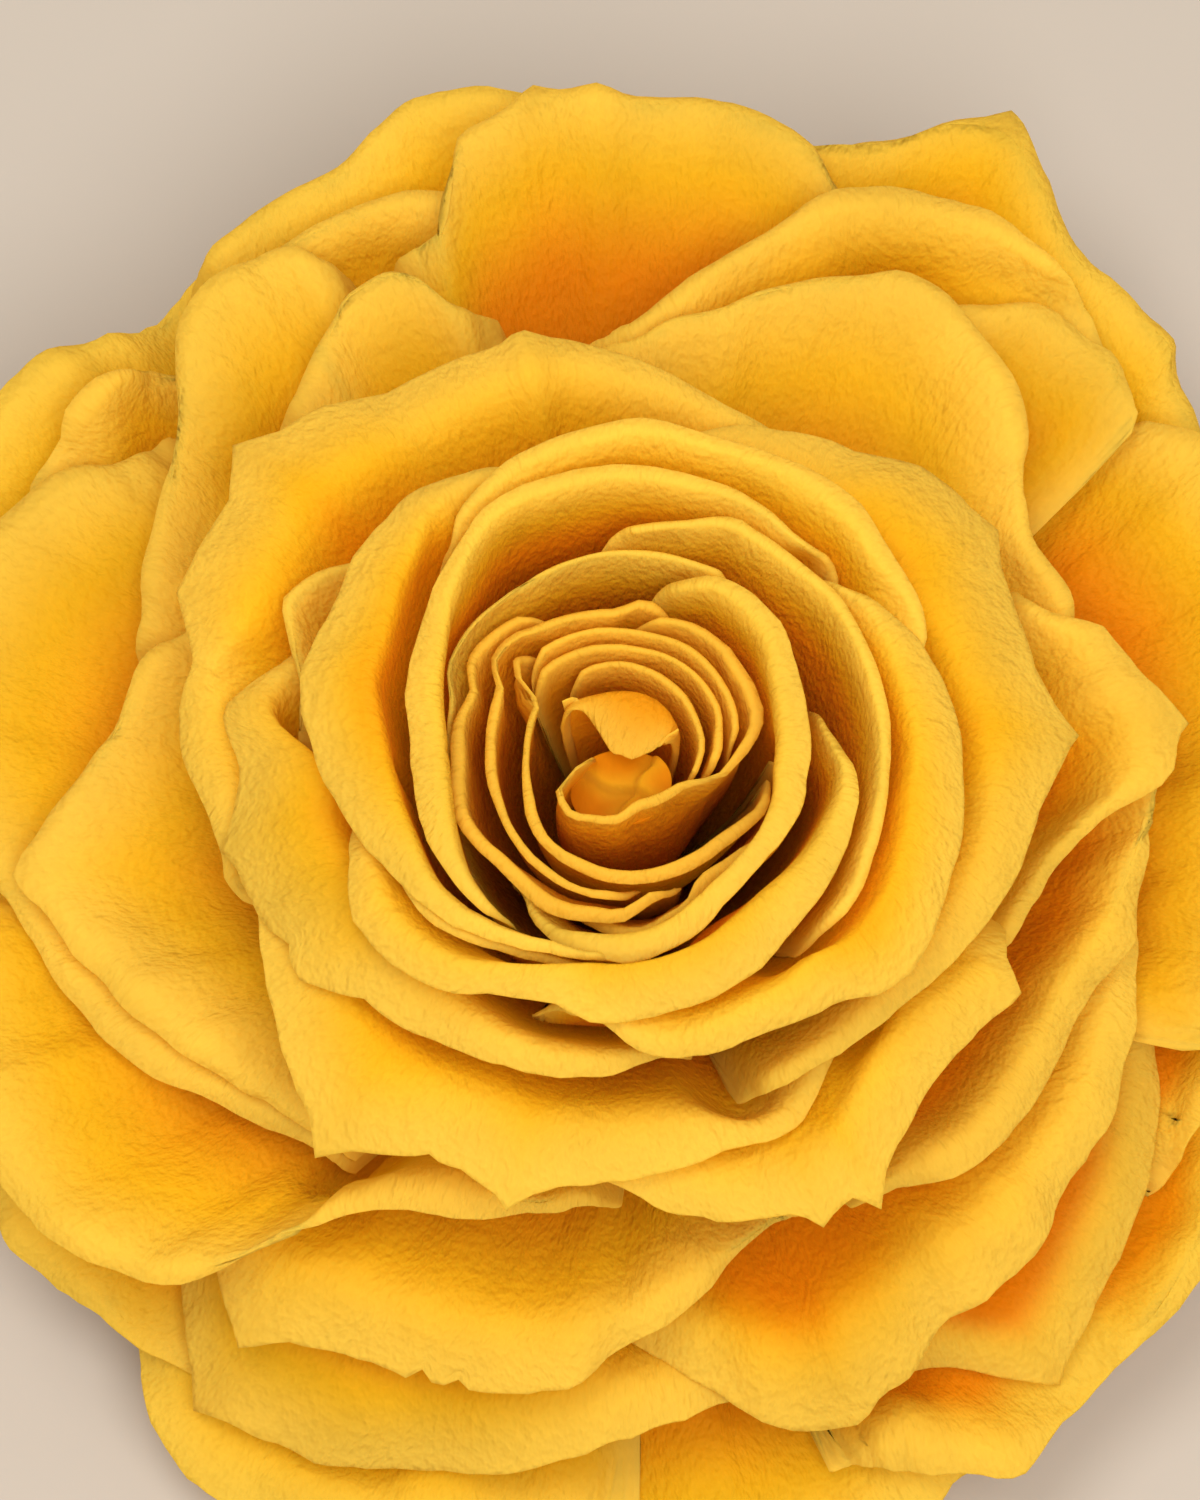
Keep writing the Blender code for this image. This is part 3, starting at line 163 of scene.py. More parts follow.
     (144, 26.6, 43.4, 5, 3), (149.5, 26.2, 43.2, 5.2, 3.1), (156, 25.6, 43, 5.6, 3.4),
     (161, 25, 42.6, 5, 3.1), (165, 24.6, 42.4, 3.9, 2.4), (171, 23.4, 42, 3.2, 2.1),
     (182, 23.2, 41, 2.4, 1.7), (190, 23.2, 40, 1.4, 1)]),
    ("wide_petal_1", 0.5, [(153, 30.6, 30, 1, 0.8), (161, 32.6, 30.4), (170, 34, 30.4),
     (176, 35.4, 30, 1.1, 0.9), (181, 37, 29.4, 1.2, 1), (184, 38, 29, 1.3, 1), (190, 36.4, 28.6, 1.2, 1),
     (198, 33.6, 28.4), (206, 31.2, 28.2), (215, 29.4, 28), (225, 27.6, 27.6, 1, 0.8)]),
    ("wide_petal_2", -8.0, [(343, 25.4, 33, 1, 0.8), (352, 27, 33, 1.2, 1), (359, 29.6, 33, 1.6, 1.2),
     (365, 33, 33, 3, 1.6), (370, 33.2, 33.4, 3.5, 1.8), (374.6, 32.4, 33.6, 2.6, 1.6),
     (381.6, 31.4, 33.8, 2.6, 1.5), (387, 29.6, 33.6, 0.9, 0.6)]),
    ("wide_petal_3", 0.5, [(21, 30.8, 30, 0.8, 0.6), (28, 32.2, 31.4), (34, 31.9, 32.4),
     (40, 33.7, 33, 0.9, 0.7), (45, 36.1, 33.4, 1, 0.8), (50, 38.1, 33.8, 1.1, 0.8), (55, 39.5, 34, 1.2, 0.9),
     (60, 40.5, 34.2, 1.3, 1), (64, 40.1, 34.4), (71, 37.9, 34.6, 1.2, 0.9), (75, 36.7, 34.6, 1.1, 0.8),
     (79, 34.7, 34.4, 1, 0.8), (83, 34, 34, 0.9, 0.7), (90, 32, 33, 0.8, 0.6)]),
    ("wide_petal_4", 0.5, [(107, 36.8, 31.7, 0.9, 0.7), (110, 39.6, 32.3, 1, 0.8),
     (113, 40.8, 32.6, 1.1, 0.8), (117, 40.6, 32.4, 1, 0.8), (122, 37.6, 31.8, 0.9, 0.7),
     (127, 35.6, 31, 0.8, 0.6)]),
    ("wide_petal_5", 0.5, [(117, 44.2, 29, 1, 0.8), (121, 46, 29.6, 1.3, 1), (126, 46, 30, 1.4, 1),
     (130, 44.6, 30, 1.3, 1), (134, 42.4, 30, 1.2, 0.9), (138, 40, 30, 1.1, 0.8), (144, 37.4, 29.8, 1, 0.8),
     (149, 35.8, 29.4, 0.9, 0.7), (155, 34.4, 28.6, 0.8, 0.6)]),
    ("wide_petal_6", 0.5, [(141, 42.6, 25.4, 1, 0.8), (148, 45, 26, 1.5, 1.2), (157, 46.8, 26.4, 1.8, 1.4),
     (166, 47, 26.4), (175, 44.8, 26.2, 1.6, 1.3), (185, 39.8, 26, 1.4, 1.2), (191, 38.2, 26), (198, 36, 26),
     (206, 33.4, 26), (215, 30.2, 25.8, 1.3, 1.1), (225, 28, 25.5, 1, 0.8)]),
    ("wide_petal_7", -3.0, [(188, 46, 24.4, 1.6, 1.4), (196, 45.6, 25, 2, 1.8), (204, 45, 25.5, 2.2, 2),
     (212, 45, 25.5, 2, 1.8), (221, 42.4, 25.5, 1.6, 1.4), (227, 39, 26, 1.4, 1.2), (231, 34, 27.5, 1.2, 1),
     (234, 31, 28.5), (239, 28.2, 30, 1.6, 1.2), (244, 26.8, 30.6, 2, 1.6), (251, 26, 30.6),
     (258, 25.4, 30, 1.6, 1.2), (264, 24.6, 29, 0.8, 0.6)]),
    ("wide_petal_8", -9.0, [(306, 28.6, 28.2, 1.1, 1.2), (319, 29.8, 28.56, 2.2, 2.16),
     (326, 29.8, 28.9, 2.4, 2.4), (332, 29.7, 29.36, 2.5, 2.46), (340, 30, 29.32, 2.6, 2.52),
     (348, 31.4, 29.24, 3, 2.64), (352, 32, 29.56, 2.6, 2.16), (358, 33.1, 30.04, 1.7, 1.44),
     (365, 34.5, 30.68, 0.5, 0.48)]),
    ("wide_petal_9", -4.0, [(222, 34.45, 21.71, 2.55, 2.11), (229, 35.35, 22.57, 4.25, 3.17),
     (232, 35.27, 22.92, 4.93, 3.52), (236, 34.41, 23.14, 4.59, 3.34), (244, 33.38, 23.54, 4.42, 3.34),
     (249, 33.01, 23.72, 4.59, 3.52), (254, 32.61, 23.72), (260, 32.18, 23.74, 4.42, 3.34),
     (264, 31.89, 23.59, 3.91, 2.99), (268, 31.14, 23.66, 3.06, 2.46), (272, 30.25, 23.71, 2.55, 2.11),
     (277, 29.16, 23.76, 2.04, 1.76), (282, 28.07, 23.83, 1.53, 1.23), (287, 27.21, 23.88, 1.19, 0.88),
     (292, 26.55, 23.5, 0.85, 0.7)]),
    ("wide_petal_10", -5.0, [(272, 29.75, 17.52, 2.25, 1.92), (279, 31.25, 19.2, 3.75, 3.2),
     (284, 32.75, 20.32, 5.25, 4.32), (289, 33.7, 20.72, 6.3, 5.12), (292.4, 33.95, 21.12, 6.45, 5.12),
     (295, 33.85, 21.48, 5.55, 4.48), (298.5, 33.75, 21.92, 5.25, 4.32), (303.5, 33.55, 22.52, 4.05, 3.52),
     (310, 33.8, 23.2, 3.6, 3.2), (315, 34, 23.6), (323, 33.8, 24.32, 3, 2.72), (330.5, 33.9, 24.8, 2.7, 2.4),
     (336, 33.45, 25.04, 2.55, 2.24), (349, 32.55, 25.04, 1.65, 1.44), (353, 32, 24.74, 1.2, 1.04)]),
    ("guard_petal_1", 1.0, [(38, 43.4, 27.6, 1.4, 1), (42, 45.0, 28.4, 1.5, 1.1), (45, 46, 29, 1.7, 1.2),
     (48, 45.4, 29.2, 1.6, 1.2), (52, 45.2, 29.4), (58, 42.4, 29.6, 1.2, 0.9)]),
    ("guard_petal_2", 1.0, [(44, 44, 29.5, 1, 0.8), (49, 46.4, 30.5, 1.4, 1), (54, 47.6, 31, 1.6, 1.2),
     (60, 47.6, 31.6, 1.8, 1.3), (66, 46.6, 32), (73, 43.8, 32.4, 1.6, 1.2), (76, 41.4, 32.6, 1.4, 1),
     (80, 38.6, 32.6, 1.2, 0.9), (84, 36, 32.2, 1, 0.8), (90, 33.4, 31.4, 0.8, 0.6)]),
    ("guard_petal_3", 1.0, [(69, 44.8, 29, 0.8, 0.6), (72, 46.6, 29.6, 1, 0.8), (75, 49.3, 30, 1.1, 0.8),
     (79, 50.5, 30.4, 1.2, 0.9), (82, 50.9, 30.6, 1.3, 1), (88, 50.7, 30.8), (92, 50.9, 31), (96.5, 51.3, 31),
     (100, 49.9, 31, 1.2, 0.9), (103, 48.9, 30.8, 1.1, 0.8), (105, 46.2, 30.6, 1, 0.8),
     (107, 43.4, 30, 0.9, 0.7)]),
    ("guard_petal_4", 1.0, [(-18, 41, 24.2, 0.7, 0.5), (-8, 41.6, 25, 0.9, 0.7), (2, 42, 25.6, 1, 0.8),
     (8, 43, 25.8, 1.4, 1.1), (16, 45, 26, 1.6, 1.2), (25, 46.8, 26.6, 1.8, 1.4), (33, 46.6, 26.4, 1.6, 1.2),
     (41, 44.6, 25.6, 1.2, 0.9)]),
    ("guard_petal_5", 1.0, [(218, 36.6, 15.62, 2.4, 2.02), (225, 37.4, 15.96, 4, 3.36),
     (230.5, 38.08, 16.1, 5.92, 4.7), (236, 38.04, 16.1, 5.76, 4.7), (243, 37.84, 16.1),
     (252, 37, 16.23, 4.8, 4.03), (260, 35.92, 16.39, 3.68, 3.19), (268, 34.48, 16.52, 2.72, 2.52),
     (276, 34.2, 16.58, 2.4, 2.18), (284, 34, 16.31, 1.6, 1.51)]),
    ("guard_petal_6", -3.0, [(303, 36.9, 14.38, 2.1, 1.98), (311, 39.68, 15.44, 3.92, 3.34),
     (320, 38.78, 16.59, 3.22, 2.89), (329, 37.8, 17.58, 2.8, 2.58), (338, 36.5, 18.38, 2.1, 1.98),
     (343, 35.6, 18.62, 1.4, 1.22)]),
    ("guard_petal_7", 1.0, [(104, 46, 27.6, 1, 0.8), (109, 47.2, 28, 1.2, 0.9), (113, 47.4, 28.4, 1.3, 1),
     (117, 47.2, 28.4, 1.2, 0.9), (121, 46.4, 28.2, 1, 0.8), (125, 45, 27.8, 0.8, 0.6)]),
    ("guard_petal_8", 1.0, [(128, 43, 26.5, 1, 0.8), (133, 44.8, 27, 1.2, 0.9), (138, 46.6, 27.4, 1.3, 1),
     (144, 46, 27, 1.2, 0.9), (150, 44.6, 26.4, 1, 0.8), (155, 42.6, 25.6, 0.8, 0.6)]),
    ("guard_petal_9", 1.0, [(35, 48.4, 22.6, 1.2, 1), (41, 49.6, 24, 1.4, 1.2), (44, 51.2, 25.5, 1.6, 1.3),
     (49, 50.8, 26), (54, 51.8, 26.5, 1.7, 1.4), (59, 54.8, 27, 2, 1.6), (62, 56.4, 27.4, 2.4, 1.8),
     (63.5, 56.8, 27.4), (66.6, 55.4, 27.4, 2, 1.5), (70, 52.6, 27.4, 1.8, 1.4), (74, 51.4, 27.4, 1.6, 1.2),
     (78, 50.4, 27, 1.4, 1.1), (82, 49.2, 26.4, 1.2, 1)]),
    ("guard_petal_10", 1.0, [(92, 51.8, 26, 1, 0.8), (97, 52.8, 26.6, 1.2, 0.9), (101.5, 53.8, 27, 1.4, 1),
     (105, 54, 27), (108, 52.8, 26.8, 1.3, 1), (112, 51.4, 26.4, 1.2, 0.9), (118, 50.8, 26),
     (124, 49.8, 25.4, 1, 0.8)]),
    ("guard_petal_11", 1.0, [(118, 49.4, 22.2, 1, 0.8), (124, 50, 23.2, 1.2, 1), (131, 49.4, 23.6, 1.3, 1),
     (137, 51, 23.8, 1.5, 1.2), (143, 51.8, 23.8, 1.6, 1.3), (150, 51.4, 23.6), (158, 50.2, 23.2, 1.4, 1.2),
     (166, 48.4, 22.2, 1.2, 1)]),
    ("guard_petal_12", 1.0, [(335, 40.6, 19, 1.6, 1.4), (345, 42.6, 20, 2, 1.6), (355, 44.4, 20.6, 2.2, 1.8),
     (365, 45.6, 21), (376, 46.4, 21.4, 2, 1.6), (388, 46, 21, 1.6, 1.3)]),
    ("guard_petal_13", 0.0, [(295, 41.32, 13.12, 1.68, 1.52), (304, 44.48, 13.68, 2.52, 2.28),
     (313, 43.5, 14.38, 2.1, 1.98), (322, 45.3, 14.98), (333, 44.78, 15.47, 1.82, 1.67),
     (345, 43, 15.57, 1.4, 1.37)]),
    ("guard_petal_14", 3.0, [(196, 44, 15.57, 1.4, 1.37), (204, 45.32, 15.12, 1.68, 1.52),
     (211, 45.78, 14.47, 1.82, 1.67), (220, 44.12, 14.12, 1.68, 1.52), (229, 42.6, 13.57, 1.4, 1.37),
     (238, 41.48, 13.26, 1.12, 1.06)]),
    ("guard_petal_15", 3.0, [(152, 44, 18, 1.4, 1.2), (165, 46, 18.6, 2, 1.6), (178, 46, 18.6, 2.2, 1.8),
     (191, 44.6, 18, 2, 1.6), (203, 42, 17, 1.4, 1.2)]),
    ("guard_petal_16", 3.0, [(222, 41.6, 10.08, 2.4, 2.18), (228, 43.88, 10.42, 3.52, 3.02),
     (233, 44.56, 10.36, 3.84, 3.36), (240, 44.32, 10.39, 3.68, 3.19), (250, 43.2, 10.46, 3.2, 2.86),
     (262, 41.6, 10.18, 2.4, 2.18)]),
    ("guard_petal_17", 3.0, [(255, 40.6, 9.18, 2.4, 2.18), (266, 42.2, 9.46, 3.2, 2.86),
     (278, 42.88, 9.82, 3.52, 3.02), (290, 42.84, 10.26, 3.36, 2.86), (302, 42.08, 10.75, 2.72, 2.35),
     (310, 40.88, 10.68, 1.92, 1.68)]),
    ("guard_petal_18", 3.0, [(56, 47, 18, 1.4, 1.2), (68, 49.6, 19, 1.8, 1.4), (82, 51, 19.4, 2, 1.6),
     (96, 50.6, 19.2, 1.8, 1.5), (110, 48.6, 18.4, 1.4, 1.2)]),
]

COLUMN_MM = 0.75  # between a petal's columns of points, at its rim
BODY_FINE, LIP_FINE = 150, 50  # rows on which a petal's body and lip are worked out
CREST = BODY_FINE - 1
BODY_ROWS, LIP_ROWS = 30, 12  # rows that the mesh keeps of them
UNEVEN = 0.18  # mm: how far the whole bloom wanders from its drawn lines
RIM_ROUND = 0.42  # how far the edge's middle stands out, in thicknesses, which rounds the edge
FLAP_ARCH = 0.45  # mm: how far a flap rises between its two ends
# In mm: how far in from the rim each of these reaches, how far apart two nicks, two pleats and two of the
# bloom's own rises lie, and how far in from a petal's sides its waves and its pleats reach their full height.
NICK_REACH, WAVE_REACH, CRINKLE_REACH, TIP_REACH = 1.8, 5.0, 2.0, 3.0
NICK_PITCHES, PLEAT_PITCHES, DRIFT_PITCHES = (1.1, 2.6), (6.0, 2.7), (9.0, 3.5)
SIDE_FADE, PLEAT_SIDE_FADE = 3.0, 8.0
SIDE_MOST = 8.0  # mm: nothing in the skin depends on a point's distance from its petal's side past this
SKIN_APART = 37.0  # mm between the patterns of two petals' skins

# Seeds of the smooth noises. Waves, crinkles and pleats add the petal's place in the table to theirs.
NICK_SEEDS, WAVE_SEED, CRINKLE_SEED, PLEAT_SEEDS = (5, 6), 11, 71, (41, 91)
DRIFT_SEEDS = ((21, 22, 23), (31, 32, 33))
NOISE_APART = 7.3  # mm between the lines along which two petals' rims read their noises

# The bud's tip, in mm: half widths, middle of its top, height and softness of the steps at its folds, depth.
BUD_HALF, BUD_MIDDLE = (3.2, 2.5), (-0.3, -1.9, 42.8)
BUD_STEPS, BUD_STEPS_SOFT, BUD_DEPTH = (1.0, 0.9), (0.08, 0.07), 6.0

# How each petal differs from its neighbours. Keys, with sizes in mm and angles in degrees:
# roll: how softly the crest turns over;
# wave, pitch: height and length of the rim's undulation;
# nick: depth of the small nicks in its edge;
# notches: (azimuth, depth, half width) cut into the rim;
# tips: (azimuth, length, half width, lift) drawn out of it;
# folds: (azimuth, depth, half width) pressed along the petal;
# pleat: depth of the pleats up its face;
# ends, end_s: width of the rounding at either side, and how far down the sheet it reaches (0 foot, 1 crest);
# tuck: (span, fall, span, fall) of the tails that run on past the first and the last crest point;
# free: the azimuth past which its tail runs inside petals laid before it;
# flap: (x, y, z) along a torn edge that hangs over the bud;
# thin: thickness against the usual; tone: how much paler it is, where below zero is painted shade;
# deep: how far below the rim the foot's colour starts, against the usual, where below 1 is painted shade
# that brings the orange nearer the rim on petals whose faces lie in shadow.
PLAIN = {
    "roll": 0.9, "wave": 0.25, "pitch": 7.0, "nick": 0.12, "notches": (), "tips": (), "folds": (),
    "pleat": 0.0, "ends": (5.0, 5.0), "end_s": 0.6, "tuck": (6, 4.0, 6, 4.0), "free": None, "flap": None,
    "thin": 1.0, "tone": 0.0, "deep": 1.0,
}
GROUPS = {
    "heart": {"roll": 0.25, "wave": 0.10, "pitch": 4.0, "nick": 0.10, "ends": (2.0, 2.0), "end_s": 0.72,
              "tuck": (14, 3.0, 14, 3.0), "thin": 0.62},
    "bowl": {"roll": 0.8, "wave": 0.15, "nick": 0.10, "ends": (3.5, 3.5), "tuck": (12, 4.5, 12, 4.5),
             "thin": 0.8},
    "open": {"roll": 1.4, "wave": 0.35, "pitch": 9.0, "nick": 0.10, "tuck": (8, 5.0, 8, 5.0)},
    "wide": {"roll": 1.3, "wave": 0.7, "pitch": 9.0, "ends": (7.0, 7.0), "pleat": 0.6},
    # The guard petals' colour is made a little darker: painted shade on the outermost petals.
    "guard": {"roll": 1.2, "wave": 1.0, "pitch": 10.0, "nick": 0.14, "ends": (8.0, 8.0), "pleat": 0.8,
              "tone": -0.04},
}
# Where a petal's deep is below 1, its faces lie in shadow, and the orange brought nearer its rim is painted
# shade.
STYLE = {
    "heart_petal_1": {"nick": 0.22, "roll": 0.4, "flap": (
        (3.2, 0.9, 46.3), (2.5, 0.4, 46.2), (2.15, -0.15, 46.2), (1.8, -0.3, 46.1), (0.9, -0.8, 46.0),
        (0.2, -0.95, 45.9), (-0.7, -0.75, 45.9), (-1.3, -0.1, 46.0), (-1.9, 0.7, 46.1), (-2.6, 2.1, 46.3),
        (-3.2, 3.2, 46.4), (-4.1, 2.9, 46.2))},
    "bowl_petal_7": {"free": 181, "tuck": (12, 4.5, 6, 2.5)},
    "bowl_petal_9": {"free": 181, "tuck": (12, 4.5, 8, 2.5)},
    "open_petal_2": {"tips": ((190, 0.7, 4, 0.3),), "notches": ((208, 0.6, 1.5),)},
    "open_petal_3": {"tips": ((366, 0.8, 4, 0.4), (395, 0.9, 4, 0.4))},
    "open_petal_4": {"tips": ((230.5, 1.3, 4, 0.4), (255, 1.0, 3, 0.3)), "notches": ((243, 0.5, 1.5),)},
    "open_petal_5": {"tips": ((293.5, 0.7, 3, 0.3), (300.6, 0.9, 2.5, 0.3))},
    "open_petal_6": {"tips": ((138, 1.2, 4, 0.6), (156, 0.9, 4, 0.4)), "folds": ((103, 0.8, 2.0),)},
    "wide_petal_1": {"tips": ((184, 0.9, 4, 0.3),)},
    "wide_petal_2": {"tips": ((370, 1.2, 3, 0.6),), "deep": 0.6},
    "wide_petal_3": {"wave": 0.3},
    "wide_petal_4": {"tuck": (5, 6.0, 4, 5.0), "pleat": 0.2},
    "wide_petal_5": {"tuck": (2.5, 5.0, 6, 4.0)},
    "wide_petal_8": {"deep": 0.4},
    "wide_petal_9": {"tips": ((232, 1.4, 4, 0.4),), "notches": ((249, 1.0, 0.6), (253, 0.8, 0.5)),
                     "wave": 0.5},
    "wide_petal_10": {"deep": 0.6},
    "guard_petal_1": {"tuck": (0, 0.0, 6, 4.0), "ends": (10.0, 8.0), "end_s": 0.15, "wave": 0.5,
                      "pleat": 0.3},
    "guard_petal_2": {"tuck": (0, 0.0, 6, 4.0), "ends": (10.0, 8.0), "end_s": 0.15, "wave": 0.5,
                      "pleat": 0.3, "folds": ((60, 0.5, 2.0),)},
    "guard_petal_3": {"tuck": (6, 4.0, 5, 5.0), "wave": 0.6, "pleat": 0.2, "tips": ((96.5, 1.9, 2.2, 0.2),),
                      "folds": ((92, 0.7, 1.6), (84, 0.4, 2.0))},
    "guard_petal_4": {"tuck": (3, 1.5, 3, 5.0), "ends": (12.0, 8.0), "end_s": 0.3},
    "guard_petal_5": {"tips": ((230.5, 1.6, 4, 0.5),)},
    "guard_petal_6": {"tips": ((311, 1.2, 2.5, 0.8),), "wave": 0.3, "pleat": 0.0, "deep": 0.4},
    "guard_petal_7": {"wave": 0.5, "pleat": 0.2},
    "guard_petal_9": {"tips": ((63.5, 2.3, 3.2, 0.5),), "pleat": 0.3},
    "guard_petal_10": {"tuck": (6, 4.0, 3, 5.0), "wave": 0.5, "pleat": 0.2},
    "guard_petal_12": {"wave": 0.5, "pleat": 0.3, "deep": 0.5},
    "guard_petal_13": {"deep": 0.5},
    "guard_petal_14": {"deep": 0.6},
    "guard_petal_16": {"tuck": (6, 4.0, 10, 3.0)},
}

# The skin, in mm: width and length of its fine ridges and of its crinkles, and, for each group, how far below
# the rim a petal's colour starts to deepen and where it has become the foot's. That orange towards the foot
# is partly the petal's own colour and partly painted shade of the crevices between petals.
RIDGE_MM, RIDGE_LONG_MM = 0.40, 0.65
CRINKLE_MM, CRINKLE_LONG_MM = 1.4, 2.6
DEEP = {
    "heart": (1.5, 8.0), "bowl": (2.5, 7.5), "open": (5.0, 14.0), "wide": (6.5, 20.0), "guard": (4.5, 14.0),
}

# The stage: lamps in metres, watts and sRGB, and the camera, which looks down on the bloom.
ROOM_COLOUR, ROOM_STRENGTH = "#fff3e0", 0.60
LAMP_TARGET = (0, 0, 0.03)
KEY_PLACE, KEY_SIZE, KEY_COLOUR = (-0.10, 0.03, 0.55), 0.26, "#fffaf2"
FILL_PLACE, FILL_SIZE, FILL_COLOUR = (0.09, -0.22, 0.52), 0.34, "#fffdf8"
FLOOR_HALF, FLOOR_BELOW = 2000, 0.0002  # mm from its middle to its edge, and metres below the part
CAMERA_ELEVATION = 72.0  # degrees above level
CAMERA_AIM = (-0.25, -3.5, 48.0)  # mm from the bloom axis
CAMERA_AWAY, CAMERA_SIDE, CAMERA_UP = 400.0, 1.375, 2.5  # mm
CAMERA_LENS, CAMERA_SENSOR = 153.6, 36.0  # mm

AZ = np.arange(0.0, 360.0, STEP_AZ)
RHO = np.arange(MIN_RHO, MAX_RHO, STEP_RHO)


def style_of(name):
    group = name.split("_")[0]
    return {**PLAIN, **GROUPS[group], **STYLE.get(name, {})}


def eased(x, xs, ys):
    """A smooth curve through the given points that doesn't overshoot between them."""
    xs, ys = np.asarray(xs, float), np.asarray(ys, float)
    step = np.diff(xs)
    slope = np.diff(ys) / step
    rate = np.zeros(len(xs))
    inner = slope[:-1] * slope[1:] > 0
    mean = 2 * slope[:-1] * slope[1:] / np.where(inner, slope[:-1] + slope[1:], 1)
    rate[1:-1] = np.where(inner, mean, 0)
    rate[0], rate[-1] = slope[0] * 0.5, slope[-1] * 0.5
    i = np.clip(np.searchsorted(xs, x) - 1, 0, len(xs) - 2)
    t = np.clip((x - xs[i]) / step[i], 0, 1)
    a, b = rate[i] * step[i], rate[i + 1] * step[i]
    return ys[i] + t * (a + t * (3 * (ys[i + 1] - ys[i]) - 2 * a - b + t * (a + b - 2 * (ys[i + 1] - ys[i]))))


def sheet(arch, base, points, az, s):
    """(rho, psi) of a petal's middle at azimuths az. s is 0 at the foot, 1 at the crest, 2 at the lip."""
    where, radius, height, out, drop = (np.array(column, float) for column in zip(*points))
    r, z = eased(az, where, radius), eased(az, where, height) - O_Z
    r_edge, z_edge = r + np.interp(az, where, out), z - np.interp(az, where, drop)
    rho, psi = np.hypot(r, z)[:, None], np.degrees(np.arctan2(z, r))[:, None]
    rho_edge, psi_edge = np.hypot(r_edge, z_edge)[:, None], np.degrees(np.arctan2(z_edge, r_edge))[:, None]
    t, lip = np.clip(s, 0, 1)[None, :], np.clip(s - 1, 0, 1)[None, :]
    body_rho = BASE_RHO + (rho - BASE_RHO) * t
    body_psi = base + (psi - base) * t**0.9 + arch * 4 * t * (1 - t) * (1 - 0.35 * t)
    bend = 1 - (1 - lip) ** 1.5
    return (
        np.where(lip > 0, rho + (rho_edge - rho) * lip + 0.25 * np.sin(np.pi * lip), body_rho),
        np.where(lip > 0, psi + (psi_edge - psi) * (0.35 * bend + 0.65 * lip), body_psi),
    )


def spread(field, cells_az, cells_rho, pick):
    """The largest or least value within so many cells either way."""
    for _ in range(cells_az):
        field = pick(field, pick(np.roll(field, 1, 0), np.roll(field, -1, 0)))
    for _ in range(cells_rho):
        padded = np.pad(field, ((0, 0), (1, 1)), mode="edge")
        field = pick(field, pick(padded[:, :-2], padded[:, 2:]))
    return field


def blurred(field, cells_az, cells_rho):
    """The mean over so many cells either way."""
    total = sum(np.roll(field, k, 0) for k in range(-cells_az, cells_az + 1)) / (2 * cells_az + 1)
    padded = np.pad(total, ((0, 0), (cells_rho, cells_rho)), mode="edge")
    return sum(padded[:, k : k + total.shape[1]] for k in range(2 * cells_rho + 1)) / (2 * cells_rho + 1)


def read(field, az, rho):
    """The field between its cells."""
    a = (np.asarray(az) / STEP_AZ) % len(AZ)
    b = np.clip((rho - RHO[0]) / STEP_RHO, 0, len(RHO) - 1.001)
    a = np.broadcast_to(a, b.shape)
    i, j = np.floor(a).astype(int), np.floor(b).astype(int)
    u, v = a - i, b - j
    n = (i + 1) % len(AZ)
    i = i % len(AZ)
    near = field[i, j] * (1 - v) + field[i, j + 1] * v
    far = field[n, j] * (1 - v) + field[n, j + 1] * v
    return near * (1 - u) + far * u


def tail(point, span, fall):
    """Crest points that carry a petal's side on past its last point, with ever less lip, towards the foot."""
    where, r, z, out, drop = point
    parts = (0.35, 0.7, 1.0) if span else ()
    lips = [1 - 0.7 * part for part in parts]
    return [
        (where + span * part, r - 0.25 * part, z - fall * part**1.4, out * lip, drop * lip)
        for part, lip in zip(parts, lips)
    ]


def with_tails(points, tuck):
    """The crest's points with a tail at either side, over so many degrees and falling so many mm."""
    crest = []
    for point in points:
        crest.append(point if len(point) == 5 else (*point, *crest[-1][3:]))
    before, fall_before, after, fall_after = tuck
    return [*tail(crest[0], -before, fall_before)[::-1], *crest, *tail(crest[-1], after, fall_after)]


def lay_petals():
    """For each petal its base angle, and how far it is pushed down everywhere to clear those before it."""
    least = np.full((len(AZ), len(RHO)), 100.0)
    s = np.concatenate([np.linspace(0, 1, 200), np.linspace(1.03, 2, 35)])
    apart = np.interp(RHO, CLEAR_RHO, CLEAR)
    laid = []
    for order, (name, arch, points) in enumerate(PETALS):
        style = style_of(name)
        points = with_tails(points, style["tuck"])
        base = FOOT_TOP - FOOT_FALL * order / (len(PETALS) - 1)
        first, last = points[0][0], points[-1][0]
        az = np.arange(math.floor(first / STEP_AZ), math.ceil(last / STEP_AZ) + 1) * STEP_AZ
        rho, psi = sheet(arch, base, points, np.clip(az, first, last), s)
        limit = spread(least, 1, 1, np.minimum) - np.degrees(apart / RHO)[None, :]
        row = np.broadcast_to((np.round(az / STEP_AZ).astype(int) % len(AZ))[:, None], rho.shape)
        cell = np.clip(np.round((rho - RHO[0]) / STEP_RHO).astype(int), 0, len(RHO) - 1)
        push = np.zeros_like(least)
        np.maximum.at(push, (row, cell), psi - limit[row, cell])
        # The push is widened before it is smoothed, so that smoothing never takes any back.
        push = blurred(blurred(spread(push, 4, 4, np.maximum), 3, 3), 1, 1)
        if style["free"] is not None:
            beyond = (AZ - style["free"]) % 360
            push = push * np.where(beyond < FREE_TO, np.clip(1 - beyond / FREE_FADE, 0, 1), 1)[:, None]
        psi = psi - read(push, az[:, None], rho)
        for shift in (-1, 0, 1):
            np.minimum.at(least, (row, np.clip(cell + shift, 0, len(RHO) - 1)), psi)
        laid.append((base, push))
    return laid


